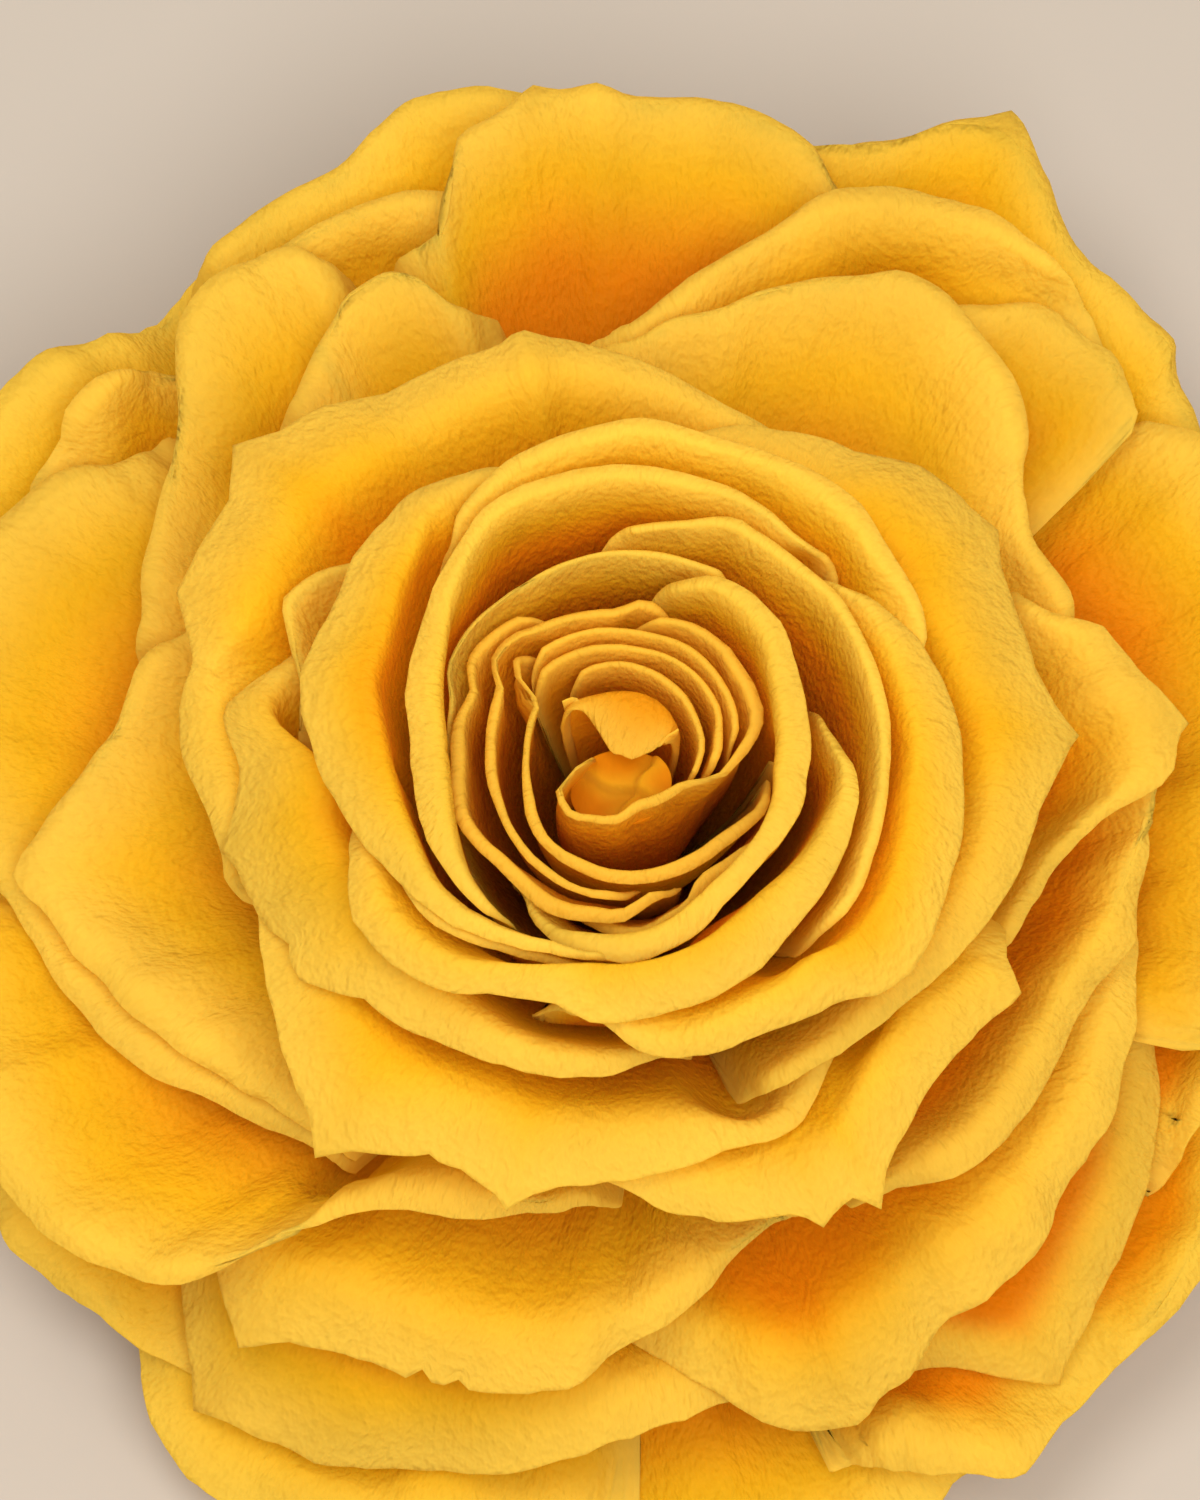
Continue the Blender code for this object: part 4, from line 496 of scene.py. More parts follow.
def wander(points, size, seed):
    """A smooth field between -1 and 1 that changes over about size, the same for the same place and seed."""
    cells = 17  # the field repeats after so many
    table = np.random.default_rng(seed).uniform(-1, 1, (cells, cells, cells))
    at = np.asarray(points, float) / size
    cell = np.floor(at).astype(int)
    part = at - cell
    part = part * part * part * (part * (part * 6 - 15) + 10)
    total = 0
    for corner in np.ndindex(2, 2, 2):
        index = (cell + corner) % cells
        weight = np.prod(np.where(np.array(corner), part, 1 - part), axis=-1)
        total = total + weight * table[index[..., 0], index[..., 1], index[..., 2]]
    return total


def bell(x, half_width):
    return np.exp(-((x / half_width) ** 2))


def unit(v):
    return v / np.maximum(np.linalg.norm(v, axis=-1, keepdims=True), 1e-9)


def normals_of(grid):
    return unit(np.cross(np.gradient(grid, axis=0), np.gradient(grid, axis=1)))


def lengths(grid, axis):
    """How far each point lies along its line of points, in mm."""
    step = np.linalg.norm(np.diff(grid, axis=axis), axis=-1)
    zero = np.zeros_like(step.take([0], axis=axis))
    return np.concatenate([zero, np.cumsum(step, axis=axis)], axis=axis)


_layout = []


def layout():
    """The petals' base angles and pushes, worked out once."""
    if not _layout:
        _layout.extend(lay_petals())
    return _layout


def softened(points, sigma):
    """Each column of points with its bends rounded over sigma mm along it; its ends stay where they are."""
    count = 24

    def reflected(line):
        """The line goes on beyond either end as its own reflection, which keeps the end in place."""
        before = 2 * line[:, :1] - line[:, count:0:-1]
        after = 2 * line[:, -1:] - line[:, -2 : -count - 2 : -1]
        return np.concatenate([before, line, after], axis=1)

    along = lengths(points, 1)
    longer, along_longer = reflected(points), reflected(along)
    share = np.gradient(along_longer, axis=1)
    out = np.empty_like(points)
    for k in range(len(points)):
        far = (along[k][:, None] - along_longer[k][None, :]) / sigma[k]
        weight = np.exp(-(far**2) / 2) * share[k][None, :]
        out[k] = weight @ longer[k] / weight.sum(axis=1, keepdims=True)
    return out


def columns_of(points, pitch_mm, radius):
    """Azimuths for the mesh's columns: the table's own, with even ones between them."""
    given = [p[0] for p in points]
    steps = []
    for a, b in zip(given, given[1:]):
        count = max(1, round(math.radians(b - a) * radius / pitch_mm))
        steps.extend(a + (b - a) * k / count for k in range(count))
    return np.array([*steps, given[-1]], float)


def with_end_columns(az, radius, ends):
    """More columns near either side, where the outline turns down to the foot."""
    near = np.array([0.02, 0.06, 0.12, 0.2, 0.3, 0.42, 0.55, 0.7, 0.85])
    width = np.degrees(np.array(ends) / radius)
    az = np.unique(np.round(np.concatenate([az, az[0] + near * width[0], az[-1] - near * width[1]]), 4))
    keep = np.concatenate([[True], np.diff(az) > 0.5 / radius])
    keep[-1] = True
    return az[keep]


def hung(grid, rows, edge, share):
    """The grid with its lip drawn out to a torn edge, given as points along it, so that it is a flap."""
    edge = np.array(edge)
    run = lengths(edge, 0)
    edge = np.stack([np.interp(share * run[-1], run, edge[:, k]) for k in range(3)], axis=1)
    top = grid[:, BODY_ROWS - 1]
    part = (rows[BODY_ROWS:] - 1)[None, :, None]
    hang = top[:, None] + (edge - top)[:, None] * part
    return np.concatenate([grid[:, :BODY_ROWS], hang + (0, 0, FLAP_ARCH) * np.sin(np.pi * part**0.8)], axis=1)


def petal_middle(order, style):
    """A petal's middle surface: the columns' azimuths, s for each row, the grid in mm and how far each column
    lies from the nearer side."""
    _, arch, points = PETALS[order]
    points = with_tails(points, style["tuck"])
    base, push = layout()[order]
    radius = np.mean([p[1] + max(p[3], 0) for p in points])
    az = with_end_columns(columns_of(points, COLUMN_MM, radius), radius, style["ends"])
    s = np.concatenate([np.linspace(0, 1, BODY_FINE), np.linspace(1.02, 2, LIP_FINE)])
    rho, psi = sheet(arch, base, points, az, s)
    psi = np.radians(psi - read(push, az[:, None], rho))
    turn = np.radians(az)[:, None]
    flat = rho * np.cos(psi)
    grid = np.stack([flat * np.cos(turn), flat * np.sin(turn), O_Z + rho * np.sin(psi)], axis=2)
    lip = np.linalg.norm(grid[:, -1] - grid[:, CREST], axis=1)
    grid = softened(grid, np.clip(lip * 0.45, 0.15, style["roll"]))
    rows = np.concatenate([np.linspace(0, 1, BODY_ROWS) ** 0.85, np.linspace(1, 2, LIP_ROWS + 1)[1:]])
    # Either side's corner is rounded off, so that the rim turns down towards the foot.
    along = lengths(grid[:, CREST], 0)
    reach = np.full(len(az), 2.0)
    for gap, width in ((along, style["ends"][0]), (along[-1] - along, style["ends"][1])):
        side = np.clip(1 - gap / width, 0, 1)
        reach = np.minimum(reach, 2 - (2 - style["end_s"]) * (1 - np.sqrt(1 - side**2)))
    index = np.interp(rows[None, :] * reach[:, None] / 2, s, np.arange(len(s)))
    low = np.clip(np.floor(index).astype(int), 0, len(s) - 2)
    part = (index - low)[..., None]
    column = np.arange(len(az))[:, None]
    grid = grid[column, low] * (1 - part) + grid[column, low + 1] * part
    if style["flap"]:
        grid = hung(grid, rows, style["flap"], along / along[-1])
    return az, rows, grid, np.minimum(along, along[-1] - along)


def dressed(order, style, az, rows, grid, aside):
    """The grid with its rim waved, nicked, notched and drawn into tips, and its face gently uneven. With it
    come how far each point lies along its column and how far it lies from the rim, in mm."""
    across, along = lengths(grid, 0), lengths(grid, 1)
    u = across[:, int(np.searchsorted(rows, 1.0))]
    u = u - u.mean()
    rim = along[:, -1:] - along
    edge_way = unit(grid[:, -1] - grid[:, -3])
    line = np.stack([u, np.full_like(u, NOISE_APART * order), np.zeros_like(u)], axis=1)
    inside = np.clip(aside / SIDE_FADE, 0, 1)

    # The edge: nicks, notches and tips move it along the sheet, and a tip also lifts off it.
    small, large = (wander(line, pitch, seed) for pitch, seed in zip(NICK_PITCHES, NICK_SEEDS))
    reach = style["nick"] * (small + 0.8 * large)
    for where, depth, half in style["notches"]:
        reach = reach - depth * bell(az - where, half)
    lift = np.zeros_like(u)
    for where, length, half, rise in style["tips"]:
        point = np.maximum(0, 1 - np.abs(az - where) / half) ** 1.6
        reach = reach + length * point
        lift = lift + rise * point
    reach, lift = reach * inside, lift * inside
    grid = grid + bell(rim, NICK_REACH)[..., None] * reach[:, None, None] * edge_way[:, None]

    # Out of the sheet: waves and crinkles that die away from the rim, pleats that run up the face, and folds.
    normal = normals_of(grid)
    wave = style["wave"] * wander(line, style["pitch"], WAVE_SEED + order)
    crinkle = 0.35 * style["wave"] * wander(line, style["pitch"] * 0.33, CRINKLE_SEED + order)
    fold = sum(depth * bell(az - where, half) for where, depth, half in style["folds"]) + np.zeros_like(u)
    large, small = (wander(line, pitch, seed + order) for pitch, seed in zip(PLEAT_PITCHES, PLEAT_SEEDS))
    pleats = style["pleat"] * (large + 0.6 * small) * np.clip(aside / PLEAT_SIDE_FADE, 0, 1)
    out = np.exp(-rim / WAVE_REACH) * wave[:, None] + np.exp(-rim / CRINKLE_REACH) * crinkle[:, None]
    out = out * inside[:, None] + np.clip((rows - 0.3) / 0.4, 0, 1)[None, :] * pleats[:, None]
    out = out + np.exp(-rim / TIP_REACH) * lift[:, None]
    out = out - np.clip(rows - 0.25, 0, 0.6)[None, :] / 0.6 * fold[:, None]
    grid = grid + normal * out[..., None]

    # The same gentle unevenness goes through neighbouring petals, so that they stay apart.
    grown = np.clip((rows - 0.2) / 0.6, 0, 1)[None, :, None]
    drift, fine = (
        np.stack([wander(grid, pitch, seed) for seed in seeds], axis=2)
        for pitch, seeds in zip(DRIFT_PITCHES, DRIFT_SEEDS)
    )
    return grid + grown * UNEVEN * (drift + 0.22 * fine), along, rim


def thickened(grid, thick):
    """A closed body round the grid: its points, its faces and the ring of grid points that its edge runs
    along. Its points are the upper side's, the under side's and one for each point of the ring."""
    n, m = grid.shape[:2]
    half = normals_of(grid) * (thick / 2)[..., None]
    index = np.arange(n * m).reshape(n, m)
    quads = np.stack([index[:-1, :-1], index[1:, :-1], index[1:, 1:], index[:-1, 1:]], axis=2).reshape(-1, 4)
    ring = [(i, 0) for i in range(n)] + [(n - 1, j) for j in range(1, m)]
    ring += [(i, m - 1) for i in range(n - 2, -1, -1)] + [(0, j) for j in range(m - 2, 0, -1)]
    ring = tuple(np.array(ring).T)
    inner = np.clip(ring[0], 1, n - 2), np.clip(ring[1], 1, m - 2)
    edge = grid[ring] + unit(grid[ring] - grid[inner]) * (thick[ring] * RIM_ROUND)[:, None]
    points = np.concatenate([(grid + half).reshape(-1, 3), (grid - half).reshape(-1, 3), edge])
    flat = index[ring]
    after = np.roll(np.arange(len(flat)), -1)
    extra = 2 * n * m + np.arange(len(flat))
    upper = np.stack([flat[after], flat, extra, extra[after]], axis=1)
    under = np.stack([extra[after], extra, flat + n * m, flat[after] + n * m], axis=1)
    faces = np.concatenate([quads, quads[:, ::-1] + n * m, upper, under])
    a, b, c, d = (points[faces[:, k]] for k in range(4))
    volume = np.einsum("ij,ij->i", a, np.cross(b, c) + np.cross(c, d)).sum()
    return points, faces if volume >= 0 else faces[:, ::-1], ring


def petal(name):
    """One petal as a closed thin body that replaces its node."""
    order = [p[0] for p in PETALS].index(name)
    group = name.split("_")[0]
    style = style_of(name)
    az, rows, grid, aside = petal_middle(order, style)
    grid, along, rim = dressed(order, style, az, rows, grid, aside)
    settings = bpy.context.scene.rose
    foot, top = settings.base_thickness / MM * style["thin"], settings.rim_thickness / MM * style["thin"]
    thick = foot + (top - foot) * np.clip(rows, 0, 1)[None, :] * np.ones_like(rim)
    points, faces, ring = thickened(grid, thick)
    obj = mesh_piece("rose_" + name, points, faces, petal_material(group, style["tone"], style["deep"]))

    # The material reads where a point lies on the flat sheet: across it, along it and below its rim.
    across = np.radians(az) * np.hypot(grid[:, BODY_ROWS - 1, 0], grid[:, BODY_ROWS - 1, 1]).mean()
    across = np.broadcast_to(across[:, None], along.shape)
    sheet_mm = np.stack([across, along, np.minimum(rim, 1.2 * aside[:, None])], axis=2)
    side_mm = np.broadcast_to(np.minimum(aside[:, None], SIDE_MOST), rim.shape)[..., None]
    for key, kind, field, values, shift in (
        ("sheet_mm", "FLOAT_VECTOR", "vector", sheet_mm, (SKIN_APART * order, 0, 0)),
        ("side_mm", "FLOAT", "value", side_mm, 0),
    ):
        flat = values.reshape(-1, values.shape[2])
        attach(obj.data, key, kind, field, np.concatenate([flat, flat, values[ring]]) + shift)
    return settle(obj, name)


def heart_bud():
    """The closed tip of the bud inside the innermost spiral: two torn petal ends folded over each other."""
    out, turn = np.linspace(0.04, 1, 40)[:, None], np.radians(np.arange(0, 360, 4))[None, :]
    x, y = BUD_HALF[0] * out * np.cos(turn), BUD_HALF[1] * out * np.sin(turn)
    # How far, in mm, each point lies past the edge of either fold; a fold's edge is a soft step up.
    first = 0.45 * x + y - 0.25 * np.sin(1.8 * x) + 0.1
    second = 0.9 * x - 0.6 * y - 0.9 + 0.12 * np.sin(4 * y)
    height = BUD_MIDDLE[2] - 0.3 * out**2 + 0.12 * x
    for past, step, soft in zip((first, second), BUD_STEPS, BUD_STEPS_SOFT):
        height = height + step / (1 + np.exp(-past / soft))
    grid = np.stack([x + BUD_MIDDLE[0], y + BUD_MIDDLE[1], height], axis=2)
    n, m = grid.shape[:2]
    index = np.arange(n * m).reshape(n, m)
    after = np.roll(index, -1, axis=1)
    quads = np.stack([index[:-1], index[1:], after[1:], after[:-1]], axis=2).reshape(-1, 4)
    strip = np.arange(m // 2 - 1)
    middle = np.stack([strip, strip + 1, m - 2 - strip, m - 1 - strip], axis=1)
    foot = grid[-1] * (0.8, 0.8, 1) - (0, 0, BUD_DEPTH)
    low = n * m + np.arange(m)
    sides = np.stack([index[-1], low, np.roll(low, -1), after[-1]], axis=1)
    points, faces = np.concatenate([grid.reshape(-1, 3), foot]), np.concatenate([middle, quads, sides])
    obj = mesh_piece("rose_heart_bud", points, faces, petal_material("heart", 0.0))
    # The material reads this as a distance below a rim, so the bud turns orange away from its folds' edges:
    # partly its own colour and partly painted shade, as at the petals' feet.
    depth = 2.0 + 4.0 * np.minimum(np.abs(first), np.abs(second))
    sheet_mm = np.stack([x, y, depth], axis=2).reshape(-1, 3)
    attach(obj.data, "sheet_mm", "FLOAT_VECTOR", "vector", np.concatenate([sheet_mm, sheet_mm[-m:]]))
    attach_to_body(obj, BODY)


def attach(mesh, name, kind, field, values):
    mesh.attributes.new(name, kind, "POINT").data.foreach_set(field, np.asarray(values, np.float32).ravel())


def mesh_piece(name, points, faces, material):
    """A smooth mesh object from points in mm about the bloom axis."""
    mesh = bpy.data.meshes.new(name)
    faces = np.asarray(faces, np.int32)
    size = faces.shape[1]
    mesh.vertices.add(len(points))
    mesh.vertices.foreach_set("co", ((points + SHIFT) * MM).astype(np.float32).ravel())
    mesh.loops.add(faces.size)
    mesh.loops.foreach_set("vertex_index", faces.ravel())
    mesh.polygons.add(len(faces))
    mesh.polygons.foreach_set("loop_start", np.arange(0, faces.size, size, dtype=np.int32))
    mesh.polygons.foreach_set("use_smooth", np.ones(len(faces), bool))
    mesh.update(calc_edges=True)
    mesh.validate()
    obj = bpy.data.objects.new(name, mesh)
    bpy.context.scene.collection.objects.link(obj)
    mesh.materials.append(material)
    return obj


def settle(obj, node):
    """The piece stands for its node, whose imported part it hides, and moves with the head."""
    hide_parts(node)
    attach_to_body(obj, BODY)
    return obj


def linear(hex_colour, alpha=1.0):
    """An sRGB hex colour as linear red, green, blue and alpha."""
    parts = [int(hex_colour.lstrip("#")[k : k + 2], 16) / 255 for k in (0, 2, 4)]
    return (*[p / 12.92 if p <= 0.04045 else ((p + 0.055) / 1.055) ** 2.4 for p in parts], alpha)


def add(tree, kind, settings=None, **links):
    """A node with its settings, and its inputs given as values or as outputs to link. An input is named, with
    _ for each space, or numbered, as i0."""
    node = tree.nodes.new(kind)
    for key, value in (settings or {}).items():
        setattr(node, key, value)
    for key, value in links.items():
        numbered = key[0] == "i" and key[1:].isdigit()
        socket = node.inputs[int(key[1:]) if numbered else key.replace("_", " ")]
        if isinstance(value, bpy.types.NodeSocket):
            tree.links.new(value, socket)
        else:
            socket.default_value = value
    return node


def noise(tree, place, scale, detail, **more):
    """A noise over the flat sheet."""
    settings = {"noise_dimensions": "2D"}
    return add(tree, "ShaderNodeTexNoise", settings, Vector=place, Scale=scale, Detail=detail, **more)


def ramp(tree, value, start, end, low=0.0, high=1.0, kind="LINEAR"):
    """Runs from low to high as the value runs from start to end."""
    limits = {"From_Min": start, "From_Max": end, "To_Min": low, "To_Max": high}
    return add(tree, "ShaderNodeMapRange", {"interpolation_type": kind}, Value=value, **limits).outputs[0]


def mixed(tree, share, first, second):
    """The first colour where share is 0 and the second where it is 1."""
    return add(tree, "ShaderNodeMix", {"data_type": "RGBA"}, i0=share, i6=first, i7=second).outputs[2]


def worked(tree, operation, *values):
    inputs = {f"i{k}": value for k, value in enumerate(values)}
    return add(tree, "ShaderNodeMath", {"operation": operation}, **inputs).outputs[0]


def vector_worked(tree, operation, *values):
    inputs = {f"i{k}": value for k, value in enumerate(values)}
    return add(tree, "ShaderNodeVectorMath", {"operation": operation}, **inputs).outputs[0]


_materials = {}


def petal_material(group, tone, deep=1.0):
    """Glycerine-preserved rose petal: soft plant tissue, dyed through, with a dry velvety skin. Its cells lie
    in fine wavering ridges from foot to rim, and it shrinks into shallow crinkles near the rim."""
    # Petals with a darker tone or with their orange nearer the rim carry painted shade, each in its own copy.
    key = (group, tone, deep)
    if key in _materials:
        return _materials[key]
    settings = bpy.context.scene.rose
    face_hex, rim_hex = settings.face_colour_hex, settings.rim_colour_hex
    # The heart's colours are more orange than the other petals', partly their own and partly painted shade of
    # the nest round the bud.
    if group == "heart":
        face_hex, rim_hex = settings.heart_face_colour_hex, settings.heart_rim_colour_hex
    pale_to, foot_from = DEEP[group]
    material = bpy.data.materials.new(f"preserved petal tissue {group} {len(_materials) + 1}")
    material.use_nodes = True
    tree = material.node_tree
    shader = tree.nodes["Principled BSDF"]
    sheet_at = add(tree, "ShaderNodeAttribute", {"attribute_name": "sheet_mm"}).outputs["Vector"]
    side = add(tree, "ShaderNodeAttribute", {"attribute_name": "side_mm"}).outputs["Fac"]
    below_rim = add(tree, "ShaderNodeSeparateXYZ", i0=sheet_at).outputs["Z"]

    # Ridges lie longer along the petal than across it, bent a little by a coarser noise. So do the crinkles.
    bend = noise(tree, sheet_at, 0.22, 0.0).outputs["Color"]
    bent = vector_worked(tree, "MULTIPLY_ADD", bend, (1.0, 0.0, 0.0), sheet_at)
    ridge_at = vector_worked(tree, "MULTIPLY", bent, (1 / RIDGE_MM, 1 / RIDGE_LONG_MM, 0.0))
    ridges = noise(tree, ridge_at, 1.0, 1.0, Roughness=0.5).outputs["Fac"]
    crinkle_at = vector_worked(tree, "MULTIPLY", bent, (1 / CRINKLE_MM, 1 / CRINKLE_LONG_MM, 0.0))
    crinkle = noise(tree, crinkle_at, 1.0, 1.0, Roughness=0.5).outputs["Fac"]

    # Colour: deeper orange at the foot, partly the petal's own colour and partly painted shade of the
    # crevices between petals, and paler towards the rim, partly its own colour and partly a painted sheen on
    # the lit lips, with faint streaks and blotches.
    rise = ramp(tree, below_rim, foot_from * deep, pale_to * deep, kind="SMOOTHSTEP")
    patch = noise(tree, sheet_at, 0.12, 2.0).outputs["Fac"]
    face = mixed(tree, rise, linear(settings.foot_and_shade_colour_hex), linear(face_hex))
    to_rim = mixed(tree, ramp(tree, below_rim, pale_to + 2.0, 0.0, kind="SMOOTHSTEP"), face, linear(rim_hex))
    streak = ramp(tree, ridges, 0.3, 0.7, 0.97, 1.02)
    blotch = ramp(tree, patch, 0.3, 0.7, 0.94, 1.04)
    toned = worked(tree, "MULTIPLY", worked(tree, "MULTIPLY", streak, blotch), 1.0 + tone)
    tree.links.new(vector_worked(tree, "MULTIPLY", to_rim, toned), shader.inputs["Base Color"])

    # Height: ridges everywhere, and crinkles that grow towards the rim.
    tall = worked(tree, "MULTIPLY", crinkle, ramp(tree, below_rim, 22.0, 3.0, 0.45, 1.0))
    rough = worked(tree, "MULTIPLY_ADD", ridges, 0.8, tall)
    # The skin is drawn smooth where a petal's side turns down to its foot.
    height = worked(tree, "MULTIPLY", rough, ramp(tree, side, 1.0, 6.0, 0.15, 1.0))
    bump = add(tree, "ShaderNodeBump", Strength=1.0, Distance=settings.crinkle_depth, Height=height)
    bump = bump.outputs[0]
    tree.links.new(bump, shader.inputs["Normal"])
    skin = {"Roughness": 0.68, "IOR": 1.40, "Specular IOR Level": 0.15, "Sheen Weight": 0.03,
            "Sheen Roughness": 0.5, "Sheen Tint": linear("#ffe08a")}
    for name, value in skin.items():
        shader.inputs[name].default_value = value
    # Light that falls on one side glows through to the other, warmer than it came.
    through = add(tree, "ShaderNodeBsdfTranslucent", Color=linear(settings.through_colour_hex), Normal=bump)
    sides = {"i1": shader.outputs[0], "i2": through.outputs[0]}
    both = add(tree, "ShaderNodeMixShader", i0=settings.translucency, **sides)
    tree.links.new(both.outputs[0], tree.nodes["Material Output"].inputs["Surface"])
    _materials[key] = material
    return material


def green_material(name, colour, dark, scale_mm, rough):
    """Preserved green tissue of the calyx and stem: matt, with darker streaks."""
    material = bpy.data.materials.new(name)
    material.use_nodes = True
    tree = material.node_tree
    shader = tree.nodes["Principled BSDF"]
    place = add(tree, "ShaderNodeTexCoord").outputs["Object"]
    fibres = add(tree, "ShaderNodeTexNoise", Vector=place, Scale=1000 / scale_mm, Detail=4.0).outputs["Fac"]
    tree.links.new(mixed(tree, fibres, linear(dark), linear(colour)), shader.inputs["Base Color"])
    bump = add(tree, "ShaderNodeBump", Strength=1.0, Distance=0.0001, Height=fibres)
    tree.links.new(bump.outputs[0], shader.inputs["Normal"])
    shader.inputs["Roughness"].default_value = rough
    return material


def floor_material(colour):
    material = bpy.data.materials.new("matt painted board")
    material.use_nodes = True
    shader = material.node_tree.nodes["Principled BSDF"]
    shader.inputs["Base Color"].default_value = linear(colour)
    shader.inputs["Roughness"].default_value = 0.9
    return material


def lamp(name, place, size, power, colour):
    """A round soft lamp that faces the bloom. Metres and watts."""
    light = bpy.data.lights.new(name, "AREA")
    light.shape, light.size, light.energy = "DISK", size, power
    light.color = linear(colour)[:3]
    obj = bpy.data.objects.new(name, light)
    bpy.context.scene.collection.objects.link(obj)
    obj.location = place
    way = np.array(LAMP_TARGET, float) - place
    turn = math.atan2(way[1], way[0]) - math.pi / 2
    obj.rotation_euler = (math.acos(-way[2] / np.linalg.norm(way)), 0, turn)


class RoseSettings(bpy.types.PropertyGroup):
    """Sizes, colours and lights of the rose"""

    base_thickness: bpy.props.FloatProperty(
        name="Thickness at the foot", description="Petal thickness where it leaves the dome",
        default=0.00030, min=0.0001, max=0.001, subtype="DISTANCE", unit="LENGTH")
    rim_thickness: bpy.props.FloatProperty(
        name="Thickness at the rim", description="Petal thickness from its crest to its rim",
        default=0.00023, min=0.0001, max=0.001, subtype="DISTANCE", unit="LENGTH")
    crinkle_depth: bpy.props.FloatProperty(
        name="Crinkle depth", description="Height of the ridges and crinkles in a petal's skin",
        default=0.00023, min=0.0, max=0.001, subtype="DISTANCE", unit="LENGTH")
    translucency: bpy.props.FloatProperty(
        name="Translucency", description="Share of the light on a petal that passes through it",
        default=0.55, min=0.0, max=1.0, subtype="FACTOR")
    through_colour_hex: bpy.props.StringProperty(
        name="Glow colour", description="sRGB hex colour of light let through by a petal", default="#ffe24a")
    # The foot colour is partly the petal's own and partly painted shade of the crevices between petals.
    foot_and_shade_colour_hex: bpy.props.StringProperty(
        name="Foot colour", description="sRGB hex colour of a petal near its foot", default="#f9970a")
    face_colour_hex: bpy.props.StringProperty(
        name="Face colour", description="sRGB hex colour of a petal's open face", default="#fbcd22")
    # The rim colour's paleness is partly the petal's own and partly a painted sheen on the lit lips.
    rim_colour_hex: bpy.props.StringProperty(
        name="Rim colour", description="sRGB hex colour along a petal's rim", default="#ffe25c")
    # The heart's colours are more orange, partly their own and partly painted shade of the nest round the
    # bud.
    heart_face_colour_hex: bpy.props.StringProperty(
        name="Heart face colour", description="sRGB hex colour of the faces round the bud", default="#ffb820")
    heart_rim_colour_hex: bpy.props.StringProperty(
        name="Heart rim colour", description="sRGB hex colour of the rims round the bud", default="#ffd44e")
    floor_colour_hex: bpy.props.StringProperty(
        name="Floor colour", description="sRGB hex colour of the floor", default="#b9b1a9")
    key_power: bpy.props.FloatProperty(
        name="Key light", description="Power of the soft light above the left",
        default=1.25, min=0.0, max=200.0, unit="POWER")
    fill_power: bpy.props.FloatProperty(
        name="Fill light", description="Power of the softer light at the front",
        default=1.9, min=0.0, max=200.0, unit="POWER")


class PetalsOperator:
    """What the operators that build petals share."""

    bl_options = {"REGISTER"}
    group = ""

    def execute(self, context):
        names = [name for name, _, _ in PETALS if name.startswith(self.group)]
        if not names:
            raise RuntimeError(f"there are no {self.group} petals in the table")
        for name in names:
            petal(name)
        return {"FINISHED"}


class ROSE_OT_heart(PetalsOperator, bpy.types.Operator):
    """Build the small petals coiled round the bud, and the bud's tip"""

    bl_idname = "rose.heart"
    bl_label = "Heart petals"
    group = "heart"

    def execute(self, context):
        done = super().execute(context)
        heart_bud()
        return done


class ROSE_OT_bowl(PetalsOperator, bpy.types.Operator):
    """Build the petals that stand round the heart as a bowl"""

    bl_idname = "rose.bowl"
    bl_label = "Bowl petals"
    group = "bowl"


class ROSE_OT_open(PetalsOperator, bpy.types.Operator):
    """Build the half-open petals outside the bowl"""

    bl_idname = "rose.open"
    bl_label = "Open petals"
    group = "open"


class ROSE_OT_wide(PetalsOperator, bpy.types.Operator):
    """Build the wide-open petals"""

    bl_idname = "rose.wide"
    bl_label = "Wide petals"
    group = "wide"


class ROSE_OT_guard(PetalsOperator, bpy.types.Operator):
    """Build the outermost petals, lowest and flattest"""

    bl_idname = "rose.guard"
    bl_label = "Guard petals"
    group = "guard"


class ROSE_OT_calyx(bpy.types.Operator):
    """Finish the hip, the sepals and the stem stub"""

    bl_idname = "rose.calyx"
    bl_label = "Hip, sepals and stem"

    def execute(self, context):
        skin = green_material("preserved hip skin", "#7d8c3c", "#5b6b2b", 2.0, 0.6)
        leaf = green_material("preserved sepal", "#86943f", "#5d6a2c", 1.2, 0.65)
        bark = green_material("preserved green stem", "#6f7f38", "#4f5f2b", 1.5, 0.6)
        for node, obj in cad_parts.items():
            material = {"hip": skin, "stem_stub": bark}.get(node, leaf if node.startswith("sepal") else None)
            if material:
                obj.data.materials.clear()
                obj.data.materials.append(material)
        return {"FINISHED"}


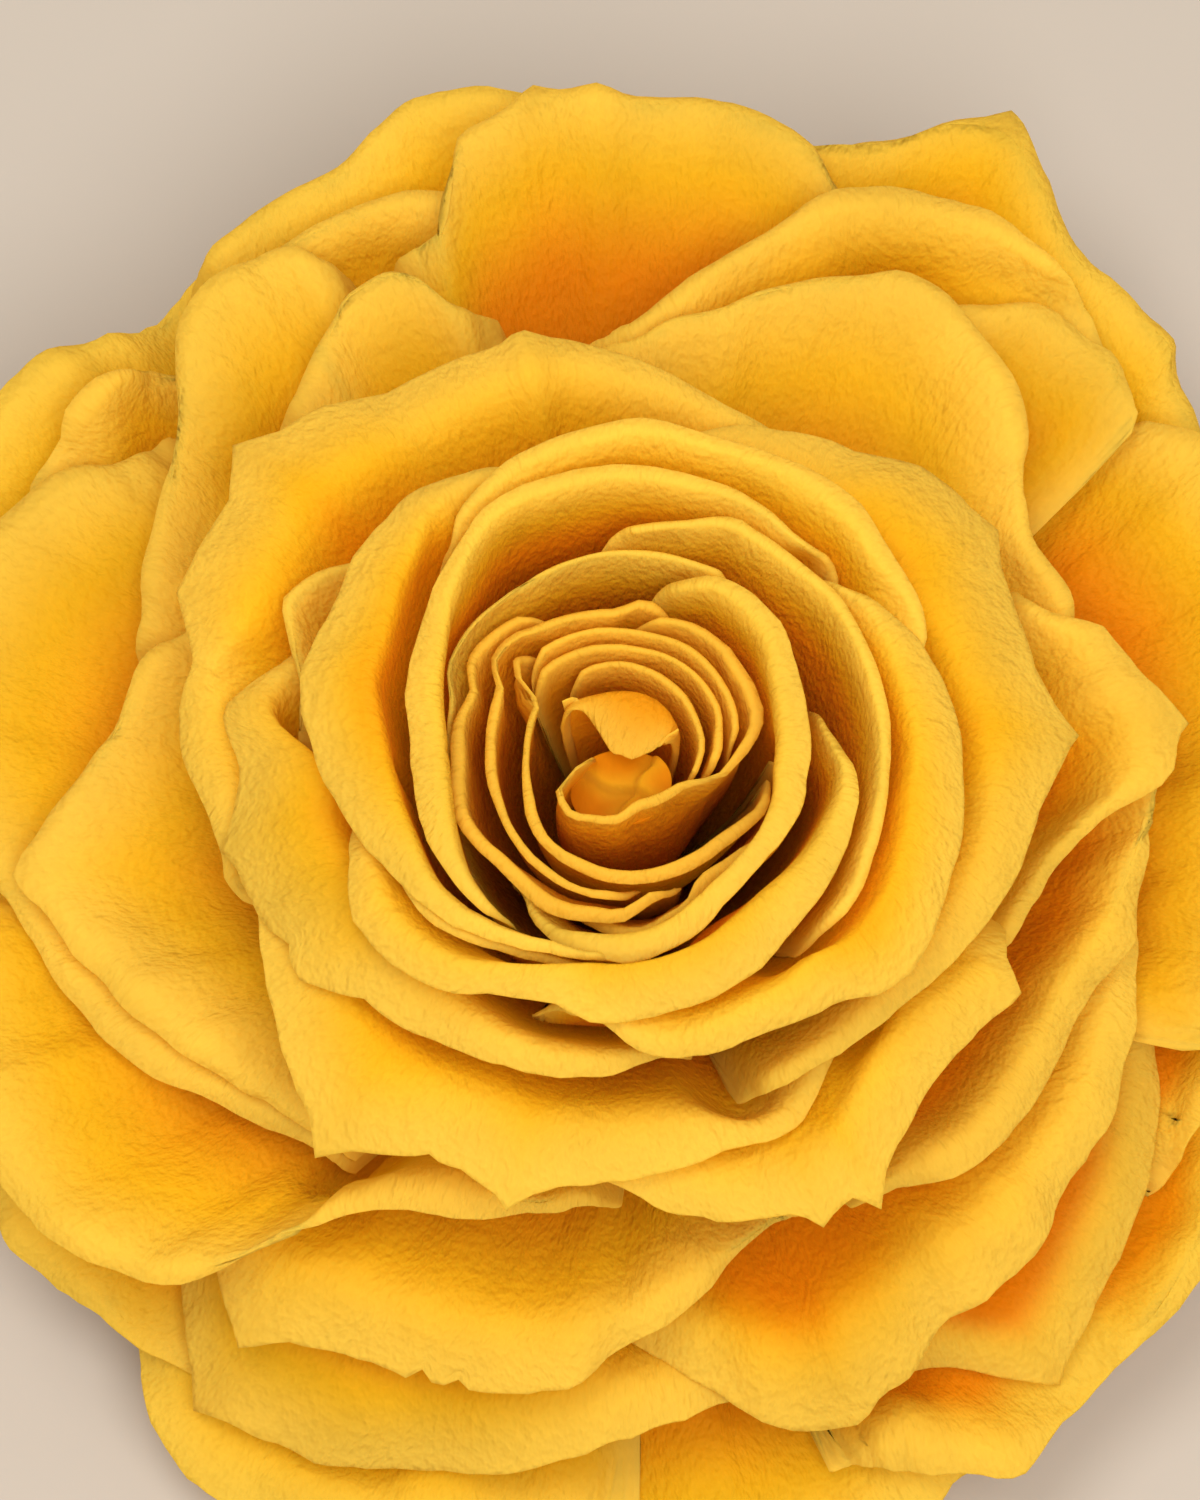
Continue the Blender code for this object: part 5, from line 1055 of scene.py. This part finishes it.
class ROSE_OT_stage(bpy.types.Operator):
    """Lay the floor, set the lights and the camera"""

    bl_idname = "rose.stage"
    bl_label = "Stage"

    def execute(self, context):
        settings, scene = context.scene.rose, context.scene
        corners = np.array([(-1, -1, 0), (1, -1, 0), (1, 1, 0), (-1, 1, 0)], float) * FLOOR_HALF
        board = floor_material(settings.floor_colour_hex)
        floor = mesh_piece("floor", corners - SHIFT, [(0, 1, 2, 3)], board)
        floor.location.z = -FLOOR_BELOW
        world = bpy.data.worlds.new("soft room")
        scene.world = world
        world.use_nodes = True
        background = world.node_tree.nodes["Background"]
        background.inputs["Color"].default_value = linear(ROOM_COLOUR)
        background.inputs["Strength"].default_value = ROOM_STRENGTH
        lamp("key", KEY_PLACE, KEY_SIZE, settings.key_power, KEY_COLOUR)
        lamp("fill", FILL_PLACE, FILL_SIZE, settings.fill_power, FILL_COLOUR)
        camera = bpy.data.cameras.new("camera")
        camera.lens, camera.sensor_width, camera.sensor_fit = CAMERA_LENS, CAMERA_SENSOR, "AUTO"
        camera.clip_start, camera.clip_end = 0.01, 10
        eye = bpy.data.objects.new("camera", camera)
        scene.collection.objects.link(eye)
        tilt = math.radians(CAMERA_ELEVATION)
        up = np.array([0, math.sin(tilt), math.cos(tilt)])
        back = np.array([0, -math.cos(tilt), math.sin(tilt)])
        place = np.array(CAMERA_AIM) + SHIFT + back * CAMERA_AWAY + (-CAMERA_SIDE, 0, 0) + up * CAMERA_UP
        eye.location = place * MM
        eye.rotation_euler = (math.pi / 2 - tilt, 0, 0)
        scene.camera = eye
        scene.view_settings.view_transform = "Standard"
        scene.cycles.diffuse_bounces = 5
        scene.cycles.transmission_bounces = 4
        scene.cycles.max_bounces = 7
        return {"FINISHED"}


class ROSE_PT_panel(bpy.types.Panel):
    """Sizes, colours and the buttons that build the rose"""

    bl_label = "Preserved rose"
    bl_idname = "ROSE_PT_panel"
    bl_space_type = "VIEW_3D"
    bl_region_type = "UI"
    bl_category = "Rose"

    def draw(self, context):
        for key in RoseSettings.__annotations__:
            self.layout.prop(context.scene.rose, key)
        for cls in CLASSES:
            if issubclass(cls, bpy.types.Operator):
                self.layout.operator(cls.bl_idname)


CLASSES = (
    RoseSettings, ROSE_OT_heart, ROSE_OT_bowl, ROSE_OT_open, ROSE_OT_wide, ROSE_OT_guard, ROSE_OT_calyx,
    ROSE_OT_stage, ROSE_PT_panel,
)


def register():
    for cls in CLASSES:
        bpy.utils.register_class(cls)
    bpy.types.Scene.rose = bpy.props.PointerProperty(type=RoseSettings)


def unregister():
    del bpy.types.Scene.rose
    for cls in reversed(CLASSES):
        bpy.utils.unregister_class(cls)


def main():
    register()
    bpy.ops.rose.heart()
    bpy.ops.rose.bowl()
    bpy.ops.rose.open()
    bpy.ops.rose.wide()
    bpy.ops.rose.guard()
    bpy.ops.rose.calyx()
    bpy.ops.rose.stage()


if __name__ == "__main__":
    main()
